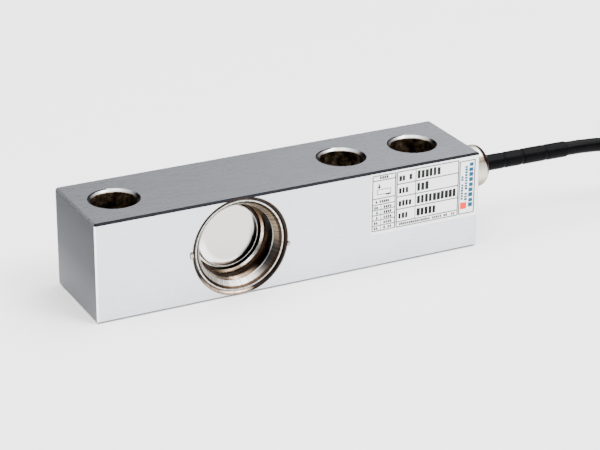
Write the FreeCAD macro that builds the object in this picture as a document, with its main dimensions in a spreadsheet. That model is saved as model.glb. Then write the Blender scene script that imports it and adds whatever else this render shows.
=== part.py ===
"""Shear beam load cell: nickel plated steel beam, sealed gauge pockets, gland and stored lead.

The origin is the middle of the two mounting holes on the underside of the beam. +X points to the
cable end, +Z up, and -Y is the face that carries the label. All sizes are millimetres.
"""

import FreeCAD
import Part
import math
import os
import re
from FreeCAD import Placement, Rotation, Vector
import Sketcher

SIZES = {
    # beam
    "beam_length": 130.0,
    "beam_width": 31.8,
    "beam_height": 31.8,
    "edge_chamfer": 0.55,
    "load_hole_inset": 12.7,
    "load_to_mounting": 76.2,
    "mounting_spacing": 25.4,
    "bolt_hole_radius": 7.0,
    "hole_chamfer": 0.9,
    # gauge pockets, one in each side face, with a thin shear web between them
    "pocket_inset": 46.7,
    "pocket_depth": 13.4,
    "pocket_bore_radius": 13.4,
    "pocket_corner_radius": 1.0,
    "mouth_radius": 15.5,
    "seat_radius": 14.95,
    "seat_depth": 1.05,
    "seat_width": 0.45,
    "seat_cone_depth": 2.3,
    # sealing cups, drawn from thin sheet
    "cup_wall": 0.4,
    "cup_edge_gap": 0.05,
    "cup_lip_width": 0.65,
    "cup_flare_radius": 13.4,
    "cup_flare_depth": 1.5,
    "cup_throat_radius": 12.25,
    "cup_throat_depth": 3.1,
    "cup_groove_radius": 11.35,
    "cup_groove_depth": 10.5,
    "cup_disc_radius": 10.1,
    "cup_disc_depth": 8.9,
    "cup_edge_rounding": 0.6,
    "cup_flare_rounding": 1.0,
    "cup_groove_rounding": 0.85,
    "cup_crease_rounding": 0.25,
    "cup_disc_rounding": 1.1,
    # weld bead round the cup's lip, with two tack spots
    "bead_overlap": 0.12,
    "bead_proud": 0.1,
    "bead_toe": 0.25,
    "tack_radius": 0.95,
    "tack_height": 0.5,
    "tack_drop": 2.1,
    "tack_flat": 0.05,
    # strain gauges and wiring in the pockets
    "gauge_width": 9.0,
    "gauge_height": 8.0,
    "gauge_backing": 0.12,
    "foil_thickness": 0.05,
    "grid_length": 2.6,
    "grid_line": 0.2,
    "grid_gap": 0.15,
    "grid_offset": 2.25,
    "tab_size": 0.9,
    "strip_length": 7.5,
    "strip_width": 3.2,
    "strip_thickness": 0.5,
    "strip_offset": 4.2,
    "strip_drop": 0.3,
    "solder_pad_width": 1.2,
    "solder_pad_length": 2.8,
    "solder_pad_height": 0.1,
    "solder_pad_pitch": 1.8,
    "board_width": 4.6,
    "board_height": 7.4,
    "board_thickness": 0.8,
    "board_offset": 7.9,
    "board_strip_gap": 0.5,
    "resistor_length": 2.0,
    "resistor_width": 1.25,
    "resistor_height": 0.5,
    "resistor_pitch": 2.1,
    "jumper_diameter": 0.2,
    "jumper_bend": 0.3,
    "jumper_start_drop": 1.2,
    "jumper_flat": 0.8,
    "jumper_loop": 0.3,
    "jumper_pad_reach": 0.3,
    "tab_spread": 0.9,
    "core_diameter": 0.55,
    "core_pitch": 0.6,
    "core_bend": 1.1,
    "core_start_shift": 0.88,
    "core_straight": 1.0,
    "core_passage_lead": 0.4,
    "web_wire_bend": 0.6,
    "web_wire_step": 0.45,
    "web_wire_start_gap": 0.96,
    "web_wire_elbow_across": 0.7,
    "web_wire_elbow_up": 2.6,
    "web_wire_end_up": 0.35,
    "web_hole_radius": 1.5,
    "web_hole_across": 8.2,
    "web_hole_down": 5.6,
    # cable entry: socket in the cable end, and the passage beside the mounting holes
    "gland_from_front": 8.9,
    "gland_from_top": 8.2,
    "socket_depth": 7.2,
    "passage_radius": 1.3,
    "passage_shift": 2.5,
    # gland
    "gland_flange_radius": 6.8,
    "gland_flange_length": 6.2,
    "gland_shoulder": 3.1,
    "gland_shank_radius": 5.0,
    "gland_shank_length": 6.6,
    "gland_chamber_radius": 3.9,
    "gland_nose_wall": 4.6,
    "shank_clearance": 0.05,
    "sleeve_clearance": 0.1,
    "o_ring_radius": 5.8,
    "o_ring_section": 0.42,
    "o_ring_play": 0.08,
    "seal_length": 3.2,
    "washer_thickness": 0.8,
    "ferrule_length": 1.4,
    "ferrule_wall": 0.5,
    "ring_rounding": 0.2,
    # lead
    "cable_diameter": 4.6,
    "sleeve_wall": 0.3,
    "sleeve_end": 38.0,
    "jacket_inside": 3.8,
    "lead_straight": 28.0,
    "lead_droop_at": 58.0,
    "lead_droop": 0.8,
    "lead_fall_at": 80.0,
    "lead_fall_height": 10.8,
    "lead_floor_at": 97.0,
    "lead_fall_shift": 2.76,
    "lead_side_shift": 6.9,
    # put-away coil of the lead
    "coil_turns_wide": 4.0,
    "coil_turns_high": 5.0,
    "coil_diameter": 46.0,
    "coil_beyond_end": 131.6,
    "coil_lead_in": 17.5,
    "coil_rim_flat": 0.23,
    "tie_thickness": 0.6,
    "tie_width": 3.0,
    "tail_lift": 0.5,
    "tail_angle": 62.0,
    "tail_ramp_angle": 35.0,
    "band_wall": 0.35,
    "band_angle": 28.0,
    "band_beyond_jacket": 5.0,
    "end_core_diameter": 1.2,
    "end_core_angle": 72.0,
    "end_core_pitch": 2.1,
    "bunch_play": 0.048,
    "tip_diameter": 0.7,
    "tip_length": 6.0,
    # label
    "label_length": 38.7,
    "label_height": 20.3,
    "label_thickness": 0.12,
    "label_below_top": 0.7,
    "label_from_end": 0.6,
}

# Places that several pieces share, as expressions on the sizes.
LOAD_END = "(-mounting_spacing / 2 - load_to_mounting - load_hole_inset)"
CABLE_END = f"({LOAD_END} + beam_length)"
POCKET_X = f"({LOAD_END} + pocket_inset)"
MIDDLE_Z = "(beam_height / 2)"
FRONT_Y = "(-beam_width / 2)"
GLAND_Y = f"({FRONT_Y} + gland_from_front)"
LIP_RADIUS = "(seat_radius - cup_edge_gap)"
LIP_DEPTH = "(seat_depth - cup_wall)"
WEB = "(beam_width - 2 * pocket_depth)"
COIL_WIDTH = "(coil_turns_wide * cable_diameter)"
COIL_HEIGHT = "(coil_turns_high * cable_diameter)"
COIL_X = f"({CABLE_END} + coil_beyond_end)"
LEAD_Y = f"({GLAND_Y} - lead_side_shift)"
COIL_Y = f"({LEAD_Y} + coil_diameter / 2 + {COIL_WIDTH} / 2 - cable_diameter / 2)"
GLAND_Z = "(beam_height - gland_from_top)"
PASSAGE_UP = f"({GLAND_Z} - {MIDDLE_Z})"
STRIP_UP = f"({PASSAGE_UP} - strip_drop)"
BOARD_UP = f"({STRIP_UP} - strip_width / 2 - board_strip_gap - board_height / 2)"

GRID_LINES = 6
CORE_COLOURS = ["red", "white", "green", "blue"]
END_COLOURS = ["red", "white", "green", "blue", "black"]

doc = FreeCAD.newDocument("ShearBeamLoadCell")
sheet = doc.addObject("Spreadsheet::Sheet", "Sizes")
for row, (alias, number) in enumerate(SIZES.items(), start=1):
    sheet.set(f"A{row}", alias)
    sheet.set(f"B{row}", str(number))
    sheet.setAlias(f"B{row}", alias)
doc.recompute()

sub_parts = []


def bound(text):
    """An expression with every size name led to its cell on the sheet."""
    return re.sub(r"[a-z][a-z0-9_]*", lambda m: f"Sizes.{m[0]}" if m[0] in SIZES else m[0], str(text))


def value(text):
    """The number that an expression on the sizes has now."""
    return float(sheet.evalExpression(bound(text)))


def keep(piece, label):
    """Names a finished sub-part and remembers it for the export."""
    piece.Label = label
    sub_parts.append(piece)
    return piece


def place(piece, x="0", y="0", z="0", rotation=None):
    """Binds the place of a piece to the sheet, with a fixed turn."""
    piece.Placement = Placement(Vector(value(x), value(y), value(z)), rotation or Rotation())
    for axis, text in zip("xyz", (x, y, z)):
        piece.setExpression(f"Placement.Base.{axis}", bound(text))
    return piece


FACING_FRONT = Rotation(Vector(1, 0, 0), 90)
FACING_BACK = Rotation(Vector(0, 0, 1), 180) * FACING_FRONT
ALONG_X = Rotation(Vector(0, 1, 0), 90)
SIDES = {
    "front": (FACING_FRONT, FRONT_Y, f"(-{WEB} / 2)"),
    "rear": (FACING_BACK, f"(-{FRONT_Y})", f"({WEB} / 2)"),
}


def new_body(name):
    body = doc.addObject("PartDesign::Body", name)
    doc.recompute()
    return body


def sketch_on(body, name, role, lift="0", across="0", along="0"):
    """A sketch on one of the body's own origin planes, moved in it and lifted along its normal."""
    plane = next(f for f in body.Origin.OriginFeatures if f.Role == role)
    sketch = body.newObject("Sketcher::SketchObject", name)
    sketch.AttachmentSupport = (plane, [""])
    sketch.MapMode = "FlatFace"
    for axis, text in zip("xyz", (across, along, lift)):
        sketch.setExpression(f"AttachmentOffset.Base.{axis}", bound(text))
    doc.recompute()
    return sketch


def bind(sketch, kind, *where, text):
    """Adds a dimension whose number is bound to the sheet."""
    index = sketch.addConstraint(Sketcher.Constraint(kind, *where, value(text)))
    sketch.setExpression(f"Constraints[{index}]", bound(text))


def circle(sketch, x, y, radius):
    centre = Vector(value(x), value(y), 0)
    ring = sketch.addGeometry(Part.Circle(centre, Vector(0, 0, 1), value(radius)), False)
    bind(sketch, "DistanceX", -1, 1, ring, 3, text=x)
    bind(sketch, "DistanceY", -1, 1, ring, 3, text=y)
    bind(sketch, "Radius", ring, text=radius)


def arc_at(before, corner, after, radius):
    """Centre and tangent points of the arc that rounds a corner."""
    towards, away = (before - corner).normalize(), (after - corner).normalize()
    half = towards.getAngle(away) / 2
    middle = (towards + away).normalize()
    reach = radius / math.tan(half)
    return corner + middle * (radius / math.sin(half)), corner + towards * reach, corner + away * reach


def outline(sketch, corners, closed=True):
    """Straight lines from corner to corner, each corner (x, y) or (x, y, rounding), all bound."""
    points = [Vector(value(c[0]), value(c[1]), 0) for c in corners]
    count = len(points)
    starts, ends = list(points), list(points)
    arcs = {}
    for i, corner in enumerate(corners):
        if len(corner) == 3:
            radius = value(corner[2])
            centre, first, second = arc_at(points[i - 1], points[i], points[(i + 1) % count], radius)
            ends[i], starts[i] = first, second
            arcs[i] = (centre, first, second, radius)
    line_count = count if closed else count - 1
    lines = []
    for i in range(line_count):
        segment = Part.LineSegment(starts[i], ends[(i + 1) % count])
        lines.append(sketch.addGeometry(segment, False))
    for i, corner in enumerate(corners):
        into = lines[i - 1] if closed or i > 0 else None
        out_of = lines[i] if i < line_count else None
        if i in arcs:
            centre, first, second, radius = arcs[i]
            turn = (first - centre).cross(second - centre).z
            begin, finish = (first, second) if turn > 0 else (second, first)
            angles = [math.atan2((p - centre).y, (p - centre).x) for p in (begin, finish)]
            ring = Part.Circle(centre, Vector(0, 0, 1), radius)
            arc = sketch.addGeometry(Part.ArcOfCircle(ring, *angles), False)
            at_first, at_second = (1, 2) if turn > 0 else (2, 1)
            point = sketch.addGeometry(Part.Point(points[i]), True)
            sketch.addConstraint(Sketcher.Constraint("Tangent", into, 2, arc, at_first))
            sketch.addConstraint(Sketcher.Constraint("Tangent", out_of, 1, arc, at_second))
            sketch.addConstraint(Sketcher.Constraint("PointOnObject", point, 1, into))
            sketch.addConstraint(Sketcher.Constraint("PointOnObject", point, 1, out_of))
            bind(sketch, "Radius", arc, text=corner[2])
            where = (point, 1)
        else:
            if into is not None and out_of is not None:
                sketch.addConstraint(Sketcher.Constraint("Coincident", into, 2, out_of, 1))
            where = (out_of, 1) if out_of is not None else (into, 2)
        bind(sketch, "DistanceX", -1, 1, *where, text=corner[0])
        bind(sketch, "DistanceY", -1, 1, *where, text=corner[1])


def rectangle(sketch, x, y, width, height):
    """A rectangle about the point (x, y)."""
    left, right = f"{x} - {width} / 2", f"{x} + {width} / 2"
    low, high = f"{y} - {height} / 2", f"{y} + {height} / 2"
    outline(sketch, [(left, low), (right, low), (right, high), (left, high)])


def feature(body, kind, name, sketch, **settings):
    """A sketched feature. A setting that is text is bound to the sheet."""
    made = body.newObject(f"PartDesign::{kind}", name)
    made.Profile = sketch
    for key, setting in settings.items():
        if isinstance(setting, str) and key in ("Length", "Length2"):
            made.setExpression(key, bound(setting))
        else:
            setattr(made, key, setting)
    sketch.Visibility = False
    doc.recompute()
    return made


def revolved(body, name, sketch, kind="Revolution"):
    """A full turn of a sketch about its own upright axis."""
    before = body.Shape.Volume if kind == "Groove" else 0.0
    made = feature(body, kind, name, sketch, ReferenceAxis=(sketch, ["V_Axis"]), Angle=360.0)
    if kind == "Groove":
        assert made.Shape.Volume < before - 1e-6, f"{name} cuts nothing"
    return made


def cut(body, name, sketch, length=None, reverse=False, both=False):
    """A pocket, through everything or to a length, that has to take something away."""
    before = body.Shape.Volume
    settings = {"Reversed": reverse}
    if length is None:
        settings.update(Type="ThroughAll", SideType="Two sides" if both else "One side")
        if both:
            settings["Type2"] = "ThroughAll"
    else:
        settings["Length"] = length
    made = feature(body, "Pocket", name, sketch, **settings)
    assert made.Shape.Volume < before - 1e-6, f"{name} cuts nothing"
    return made


def dressed(body, kind, name, wanted, text):
    """A Chamfer or Fillet on the edges of the body's tip for which wanted(edge) is true."""
    base = body.Tip
    edges = [f"Edge{i}" for i, e in enumerate(base.Shape.Edges, start=1) if wanted(e)]
    assert edges, f"{name} finds no edge"
    made = body.newObject(f"PartDesign::{kind}", name)
    made.Base = (base, edges)
    made.setExpression("Size" if kind == "Chamfer" else "Radius", bound(text))
    doc.recompute()
    return made


def near(a, b, within=1e-4):
    return abs(a - b) < within


def is_circle(edge, radius):
    return isinstance(edge.Curve, Part.Circle) and near(edge.Curve.Radius, radius)


def is_upright(edge):
    return near(abs(edge.tangentAt(edge.FirstParameter).z), 1.0)


# ---------------------------------------------------------------- beam


def make_beam():
    """A square bar with three upright holes, two stepped gauge pockets and the cable entry."""
    body = new_body("BeamBody")
    section = sketch_on(body, "BeamOutline", "XY_Plane")
    outline(section, [
        (LOAD_END, FRONT_Y), (CABLE_END, FRONT_Y), (CABLE_END, f"-{FRONT_Y}"), (LOAD_END, f"-{FRONT_Y}"),
    ])
    feature(body, "Pad", "Bar", section, Length="beam_height")
    dressed(body, "Chamfer", "BrokenEdges", lambda edge: True, "edge_chamfer")

    holes = sketch_on(body, "BoltHoles", "XY_Plane")
    for x in (f"{LOAD_END} + load_hole_inset", "-mounting_spacing / 2", "mounting_spacing / 2"):
        circle(holes, x, "0", "bolt_hole_radius")
    cut(body, "BoltBores", holes, reverse=True)
    radius = value("bolt_hole_radius")
    dressed(body, "Chamfer", "BoltRims", lambda edge: is_circle(edge, radius), "hole_chamfer")

    for side, sign in (("Front", "-"), ("Rear", "")):
        stepped = sketch_on(body, f"{side}PocketProfile", "XY_Plane", MIDDLE_Z, POCKET_X)
        face = f"{sign}beam_width / 2"
        inward = "+" if sign else "-"
        steps = [
            ("0", "0"),
            ("mouth_radius", "0"),
            ("seat_radius", "seat_depth"),
            ("seat_radius - seat_width", "seat_depth"),
            ("pocket_bore_radius", "seat_cone_depth"),
            ("pocket_bore_radius", "pocket_depth", "pocket_corner_radius"),
            ("0", "pocket_depth"),
        ]
        outline(stepped, [(s[0], f"{face} {inward} {s[1]}", *s[2:]) for s in steps])
        revolved(body, f"{side}Pocket", stepped, "Groove")

    socket = sketch_on(body, "GlandSocketCircle", "YZ_Plane", CABLE_END)
    circle(socket, GLAND_Y, GLAND_Z, "gland_shank_radius + shank_clearance")
    cut(body, "GlandSocket", socket, "socket_depth")
    passage = sketch_on(body, "WirePassageCircle", "YZ_Plane", CABLE_END)
    circle(passage, f"{GLAND_Y} - passage_shift", GLAND_Z, "passage_radius")
    cut(body, "WirePassage", passage, f"{CABLE_END} - {POCKET_X}")
    web_hole = sketch_on(body, "WebHoleCircle", "XZ_Plane")
    circle(web_hole, f"{POCKET_X} - web_hole_across", f"{MIDDLE_Z} - web_hole_down", "web_hole_radius")
    before = body.Shape.Volume
    web_cut = feature(body, "Pocket", "WebHole", web_hole, Length=WEB, Midplane=True)
    assert web_cut.Shape.Volume < before - 1e-6, "WebHole cuts nothing"
    keep(body, "beam")


# ---------------------------------------------------------------- sealing cups and their welds


def make_cup(side):
    """A thin drawn cup: flat lip, flared mouth, drafted wall, groove and a raised round bottom."""
    sketch = doc.addObject("Sketcher::SketchObject", f"{side}CupLine")
    sketch.Placement = Placement(Vector(), Rotation(Vector(1, 0, 0), 90))
    doc.recompute()
    line = [
        (LIP_RADIUS, f"-{LIP_DEPTH}"),
        (f"{LIP_RADIUS} - cup_lip_width", f"-{LIP_DEPTH}", "cup_edge_rounding"),
        ("cup_flare_radius", "-cup_flare_depth", "cup_flare_rounding"),
        ("cup_throat_radius", "-cup_throat_depth", "cup_edge_rounding"),
        ("cup_groove_radius", "-cup_groove_depth", "cup_groove_rounding"),
        ("cup_disc_radius", "-cup_groove_depth", "cup_crease_rounding"),
        ("cup_disc_radius", "-cup_disc_depth", "cup_disc_rounding"),
        ("0", "-cup_disc_depth"),
    ]
    outline(sketch, line, closed=False)
    doc.recompute()
    section = doc.addObject("Part::Offset2D", f"{side}CupSection")
    section.Source = sketch
    section.Mode = "Skin"
    section.Join = "Intersection"
    section.Fill = True
    section.setExpression("Value", bound("cup_wall"))
    doc.recompute()
    cup = doc.addObject("Part::Revolution", f"{side}Cup")
    cup.Source = section
    cup.Axis = Vector(0, 0, 1)
    cup.Base = Vector(0, 0, 0)
    cup.Angle = 360.0
    cup.Solid = True
    rotation, face, _ = SIDES[side]
    place(cup, POCKET_X, face, MIDDLE_Z, rotation)
    keep(cup, f"{side}_sealing_cup")


def make_weld_bead(side):
    """The weld that fills the groove round the lip, with a tack spot on each side of it."""
    body = new_body(f"{side}WeldBody")
    ring = sketch_on(body, f"{side}WeldSection", "XZ_Plane")
    outline(ring, [
        ("mouth_radius", "0"),
        ("seat_radius", "-seat_depth"),
        (LIP_RADIUS, "-seat_depth"),
        (LIP_RADIUS, f"-{LIP_DEPTH}"),
        (f"{LIP_RADIUS} - bead_toe", f"-{LIP_DEPTH}"),
        ("mouth_radius + bead_overlap / 2", "bead_proud"),
        ("mouth_radius + bead_overlap", "0"),
    ])
    revolved(body, f"{side}Weld", ring)
    spots = sketch_on(body, f"{side}TackCircles", "XY_Plane")
    across = "(mouth_radius + bead_overlap + tack_radius / 2)"
    circle(spots, across, "-tack_drop", "tack_radius")
    circle(spots, f"-{across}", "0", "tack_radius")
    feature(body, "Pad", f"{side}Tacks", spots, Length="tack_height")
    top, size = value("tack_height"), value("tack_radius")
    dressed(
        body,
        "Fillet",
        f"{side}TackDomes",
        lambda edge: is_circle(edge, size) and near(edge.Vertexes[0].Z, top),
        "tack_height - tack_flat",
    )
    rotation, face, _ = SIDES[side]
    place(body, POCKET_X, face, MIDDLE_Z, rotation)
    keep(body, f"{side}_weld_bead")


# ---------------------------------------------------------------- strain gauges and wiring


def on_web(side, across, up, height):
    """The place of a point on a side's web face: across and up from the pocket's middle."""
    _, _, web_face = SIDES[side]
    sign = "" if side == "front" else "-"
    x = f"{POCKET_X} + {sign}({across})"
    y = f"{web_face} - {sign}({height})"
    return x, y, f"{MIDDLE_Z} + {up}"


def make_plate(name, label, side, across, up, width, tall, thick, height="0", rounding=None):
    """A flat rectangular piece that lies on the web face of a pocket."""
    body = new_body(name)
    section = sketch_on(body, f"{name}Outline", "XY_Plane")
    rectangle(section, "0", "0", width, tall)
    feature(body, "Pad", f"{name}Pad", section, Length=thick)
    if rounding:
        dressed(body, "Fillet", f"{name}Corners", is_upright, rounding)
    rotation = SIDES[side][0]
    place(body, *on_web(side, across, up, height), rotation)
    return body if label is None else keep(body, label)


def foil_grid():
    """One folded foil grid, its lines along Y, centred, with a solder tab at each end."""
    line, gap = value("grid_line"), value("grid_gap")
    length, tab, thick = value("grid_length"), value("tab_size"), value("foil_thickness")
    pitch = line + gap
    bars = []
    for i in range(GRID_LINES):
        left = (i - GRID_LINES / 2) * pitch + gap / 2
        bars.append(Part.makeBox(line, length, thick, Vector(left, -length / 2, 0)))
        if i < GRID_LINES - 1:
            level = length / 2 - line if i % 2 else -length / 2
            bars.append(Part.makeBox(pitch, line, thick, Vector(left + line / 2, level, 0)))
    outer = (GRID_LINES * pitch - gap) / 2
    for left in (-outer, outer - tab):
        bars.append(Part.makeBox(tab, tab, thick, Vector(left, length / 2 - line / 2, 0)))
    return bars[0].fuse(bars[1:]).removeSplitter()


def make_gauge_foil(side):
    """Two folded foil grids at 45 degrees either way, side by side on one backing."""
    grids = []
    for turn in (45, -45):
        grid = foil_grid()
        grid.rotate(Vector(), Vector(0, 0, 1), -turn)
        grid.translate(Vector(math.copysign(value("grid_offset"), turn), 0, 0))
        grids.append(grid)
    foil = doc.addObject("Part::Feature", f"{side}Foil")
    foil.Shape = Part.makeCompound(grids)
    place(foil, *on_web(side, "0", "0", "gauge_backing"), SIDES[side][0])
    keep(foil, f"{side}_gauge_foil")


def make_terminal_strip(side):
    """A glass epoxy strip with a row of raised solder pads."""
    name = f"{side}Strip"
    width, thick = "strip_width", "strip_thickness"
    body = make_plate(name, None, side, "strip_offset", STRIP_UP, "strip_length", width, thick)
    pads = sketch_on(body, f"{name}PadOutlines", "XY_Plane", "strip_thickness")
    for i in range(4):
        rectangle(pads, f"{i - 1.5} * solder_pad_pitch", "0", "solder_pad_width", "solder_pad_length")
    feature(body, "Pad", f"{name}Pads", pads, Length="solder_pad_height")
    keep(body, f"{side}_terminal_strip")


def make_compensation_board():
    """The small board in the rear pocket, with a row of trimming resistors soldered to it."""
    make_plate(
        "Board", "compensation_board", "rear", "board_offset", BOARD_UP,
        "board_width", "board_height", "board_thickness", rounding="edge_chamfer",
    )
    chips = []
    for i in range(3):
        chip = doc.addObject("Part::Box", f"Resistor{i + 1}")
        for size, text in (("Length", "length"), ("Width", "width"), ("Height", "height")):
            chip.setExpression(size, bound(f"resistor_{text}"))
        chip.setExpression("Placement.Base.x", bound("-resistor_length / 2"))
        row = f"{i - 1} * resistor_pitch - resistor_width / 2"
        chip.setExpression("Placement.Base.y", bound(row))
        chips.append(chip)
    group = doc.addObject("Part::Compound", "Resistors")
    group.Links = chips
    x, y, z = on_web("rear", "board_offset", BOARD_UP, "board_thickness")
    place(group, x, y, z, FACING_BACK)
    keep(group, "trim_resistors")


# ---------------------------------------------------------------- round wires and the lead


# How much of the shorter of its two runs each arc of a route may take up.
ARC_SHARE = 0.45


def route_path(points, bend=None, report=None):
    """Straight runs joined by tangent arcs, each as large as its two runs allow, or of one bend."""
    edges, start, radii = [], points[0], []
    for before, corner, after in zip(points, points[1:], points[2:]):
        towards, away = before - corner, after - corner
        run = min(towards.Length, away.Length)
        towards.normalize()
        away.normalize()
        half_turn = (math.pi - towards.getAngle(away)) / 2
        radius = ARC_SHARE * run / math.tan(half_turn)
        radius = min(radius, bend) if bend else radius
        radii.append(radius)
        reach = radius * math.tan(half_turn)
        first, second = corner + towards * reach, corner + away * reach
        middle = (towards + away).normalize()
        summit = corner + middle * (math.hypot(reach, radius) - radius)
        edges.append(Part.LineSegment(start, first).toShape())
        edges.append(Part.Arc(first, summit, second).toShape())
        start = second
    edges.append(Part.LineSegment(start, points[-1]).toShape())
    if report:
        print(report, "bend radii", [round(r, 1) for r in radii])
    return Part.Wire(edges)


def tube_along(points, radius, bend=None, report=None):
    """A round solid that follows the route, checked against its section times its length."""
    path = route_path(points, bend, report)
    first = path.OrderedEdges[0]
    ring = Part.makeCircle(radius, points[0], first.tangentAt(first.FirstParameter))
    pipe = path.makePipeShell([Part.Wire([ring])], True, True)
    expected = math.pi * radius**2 * path.Length
    assert abs(pipe.Volume / expected - 1) < 0.01, (pipe.Volume, expected)
    return pipe, path.Length


def points_of(texts):
    return [Vector(*(value(t) for t in row)) for row in texts]


def make_tubes(name, label, routes, diameter, bend):
    """One sub-part of one or more round wires of the same diameter and bend."""
    radius = value(diameter) / 2
    tubes = [tube_along(points_of(route), radius, value(bend))[0] for route in routes]
    wires = doc.addObject("Part::Feature", name)
    wires.Shape = tubes[0] if len(tubes) == 1 else Part.makeCompound(tubes)
    return keep(wires, label)


def make_inner_cores():
    """The four cores, from the cut jacket through the passage to the front terminal strip."""
    drop = "strip_thickness + solder_pad_height + core_diameter / 2"
    passage_y = f"{GLAND_Y} - passage_shift"
    between = "(pocket_bore_radius / 2 + cup_throat_radius / 2)"
    deep_y = f"-{WEB} / 2 - ({drop})"
    for i, colour in enumerate(CORE_COLOURS):
        z = f"{GLAND_Z} + {i - 1.5} * core_pitch"
        pad_x = f"{POCKET_X} + strip_offset + {i - 1.5} * solder_pad_pitch"
        start_y = f"{GLAND_Y} - core_start_shift"
        up = f"({PASSAGE_UP} + {i - 1.5} * core_pitch)"
        turn_x = f"{POCKET_X} + ({between}^2 - {up}^2)^0.5"
        route = [
            (f"{CABLE_END} - jacket_inside", start_y, z),
            (f"{CABLE_END} - jacket_inside - core_straight", start_y, z),
            (f"{CABLE_END} - socket_depth + core_passage_lead", passage_y, z),
            (turn_x, passage_y, z),
            (turn_x, deep_y, z),
            (pad_x, deep_y, z),
        ]
        make_tubes(f"InnerCore{i + 1}", f"inner_core_{colour}", [route], "core_diameter", "core_bend")


def make_web_wires():
    """Three wires that join the front strip to the board behind, through the web hole."""
    front = f"-{WEB} / 2 - (gauge_backing + foil_thickness + core_diameter / 2)"
    back = f"{WEB} / 2 + board_thickness + core_diameter / 2"
    routes = []
    for i in (-1, 0, 1):
        flat = [
            ("strip_offset - strip_length / 2 - web_wire_start_gap", PASSAGE_UP, front),
            ("-web_hole_across + web_wire_elbow_across", "web_wire_elbow_up", front),
            ("-web_hole_across", "-web_hole_down", front),
            ("-web_hole_across", "-web_hole_down", back),
            ("-board_offset", f"{BOARD_UP} - board_height / 2 + web_wire_end_up", back),
        ]
        shift_x, shift_z = f"{i} * core_pitch", f"{-i} * web_wire_step"
        routes.append([
            (f"{POCKET_X} + {across} + {shift_x}", y, f"{MIDDLE_Z} + {up} + {shift_z}")
            for across, up, y in flat
        ])
    make_tubes("WebWires", "web_wires", routes, "core_diameter", "web_wire_bend")


def make_jumpers(side):
    """Fine wires from the gauge tabs up to the near edge of the terminal strip."""
    sign = "" if side == "front" else "-"
    low = "gauge_backing + foil_thickness + jumper_diameter / 2"
    top = "strip_thickness + solder_pad_height + jumper_diameter / 2"
    routes = []
    tabs = [f"{grid} * grid_offset + {tab} * tab_spread" for grid in (-1, 1) for tab in (-1, 1)]
    start = "gauge_height / 2 - jumper_start_drop"
    loop_up = f"{STRIP_UP} - strip_width / 2 - jumper_flat"
    for i, tab in enumerate(tabs):
        pad = f"strip_offset + {i - 1.5} * solder_pad_pitch"
        route = [
            (tab, start, low),
            (tab, f"{start} + jumper_flat", low),
            (f"(({tab}) + ({pad})) / 2", loop_up, f"{top} + jumper_loop"),
            (pad, f"{STRIP_UP} - solder_pad_length / 2 + jumper_pad_reach", top),
        ]
        routes.append([on_web(side, *point) for point in route])
    make_tubes(f"{side}Jumpers", f"{side}_jumper_wires", routes, "jumper_diameter", "jumper_bend")


# ---------------------------------------------------------------- gland


def make_gland_body():
    """A turned gland: domed flange, smooth shank, seal chamber and a groove for the ring seal."""
    body = new_body("GlandBody")
    flange = sketch_on(body, "GlandProfile", "XZ_Plane")
    nose_bore = "cable_diameter / 2 + sleeve_wall + sleeve_clearance"
    groove_in = "o_ring_radius - o_ring_section - o_ring_play"
    groove_out = "o_ring_radius + o_ring_section + o_ring_play"
    outline(flange, [
        (nose_bore, "gland_flange_length"),
        (nose_bore, "gland_flange_length - gland_nose_wall"),
        ("gland_chamber_radius", "gland_flange_length - gland_nose_wall"),
        ("gland_chamber_radius", "-gland_shank_length"),
        ("gland_shank_radius", "-gland_shank_length"),
        ("gland_shank_radius", "0"),
        (groove_in, "0"),
        (groove_in, "o_ring_section * 2"),
        (groove_out, "o_ring_section * 2"),
        (groove_out, "0"),
        ("gland_flange_radius", "0"),
        ("gland_flange_radius", "gland_flange_length", "gland_shoulder"),
    ])
    revolved(body, "GlandTurning", flange)
    place(body, CABLE_END, GLAND_Y, GLAND_Z, ALONG_X)
    keep(body, "gland_body")


def make_ring(name, label, corners):
    """A turned ring on the gland's axis, from its closed section."""
    body = new_body(name)
    section = sketch_on(body, f"{name}Section", "XZ_Plane")
    outline(section, corners)
    revolved(body, f"{name}Turning", section)
    place(body, CABLE_END, GLAND_Y, GLAND_Z, ALONG_X)
    return keep(body, label)


def ring_corners(inner, outer, low, high, rounding=None):
    extra = (rounding,) if rounding else ()
    return [(inner, low), (outer, low, *extra), (outer, high, *extra), (inner, high)]


def make_gland_inside():
    """What the gland holds: ring seal, cable seal, washer and the crimped ferrule."""
    seal = doc.addObject("Part::Torus", "RingSeal")
    seal.setExpression("Radius1", bound("o_ring_radius"))
    seal.setExpression("Radius2", bound("o_ring_section"))
    place(seal, f"{CABLE_END} + o_ring_section", GLAND_Y, GLAND_Z, ALONG_X)
    keep(seal, "gland_o_ring")
    jacket = "cable_diameter / 2"
    top = "(gland_flange_length - gland_nose_wall)"
    make_ring("Seal", "cable_seal", ring_corners(
        jacket, "gland_chamber_radius", f"{top} - seal_length", top, "ring_rounding"))
    washer_top = f"({top} - seal_length)"
    make_ring("Washer", "clamp_washer", ring_corners(
        f"{jacket} + sleeve_clearance", "gland_chamber_radius - sleeve_clearance",
        f"{washer_top} - washer_thickness", washer_top))
    ferrule_top = f"({washer_top} - washer_thickness)"
    make_ring("Ferrule", "shield_ferrule", ring_corners(
        jacket, f"{jacket} + ferrule_wall",
        f"{ferrule_top} - ferrule_length", ferrule_top, "ring_rounding"))


# ---------------------------------------------------------------- free lead, coil and bare end


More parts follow.
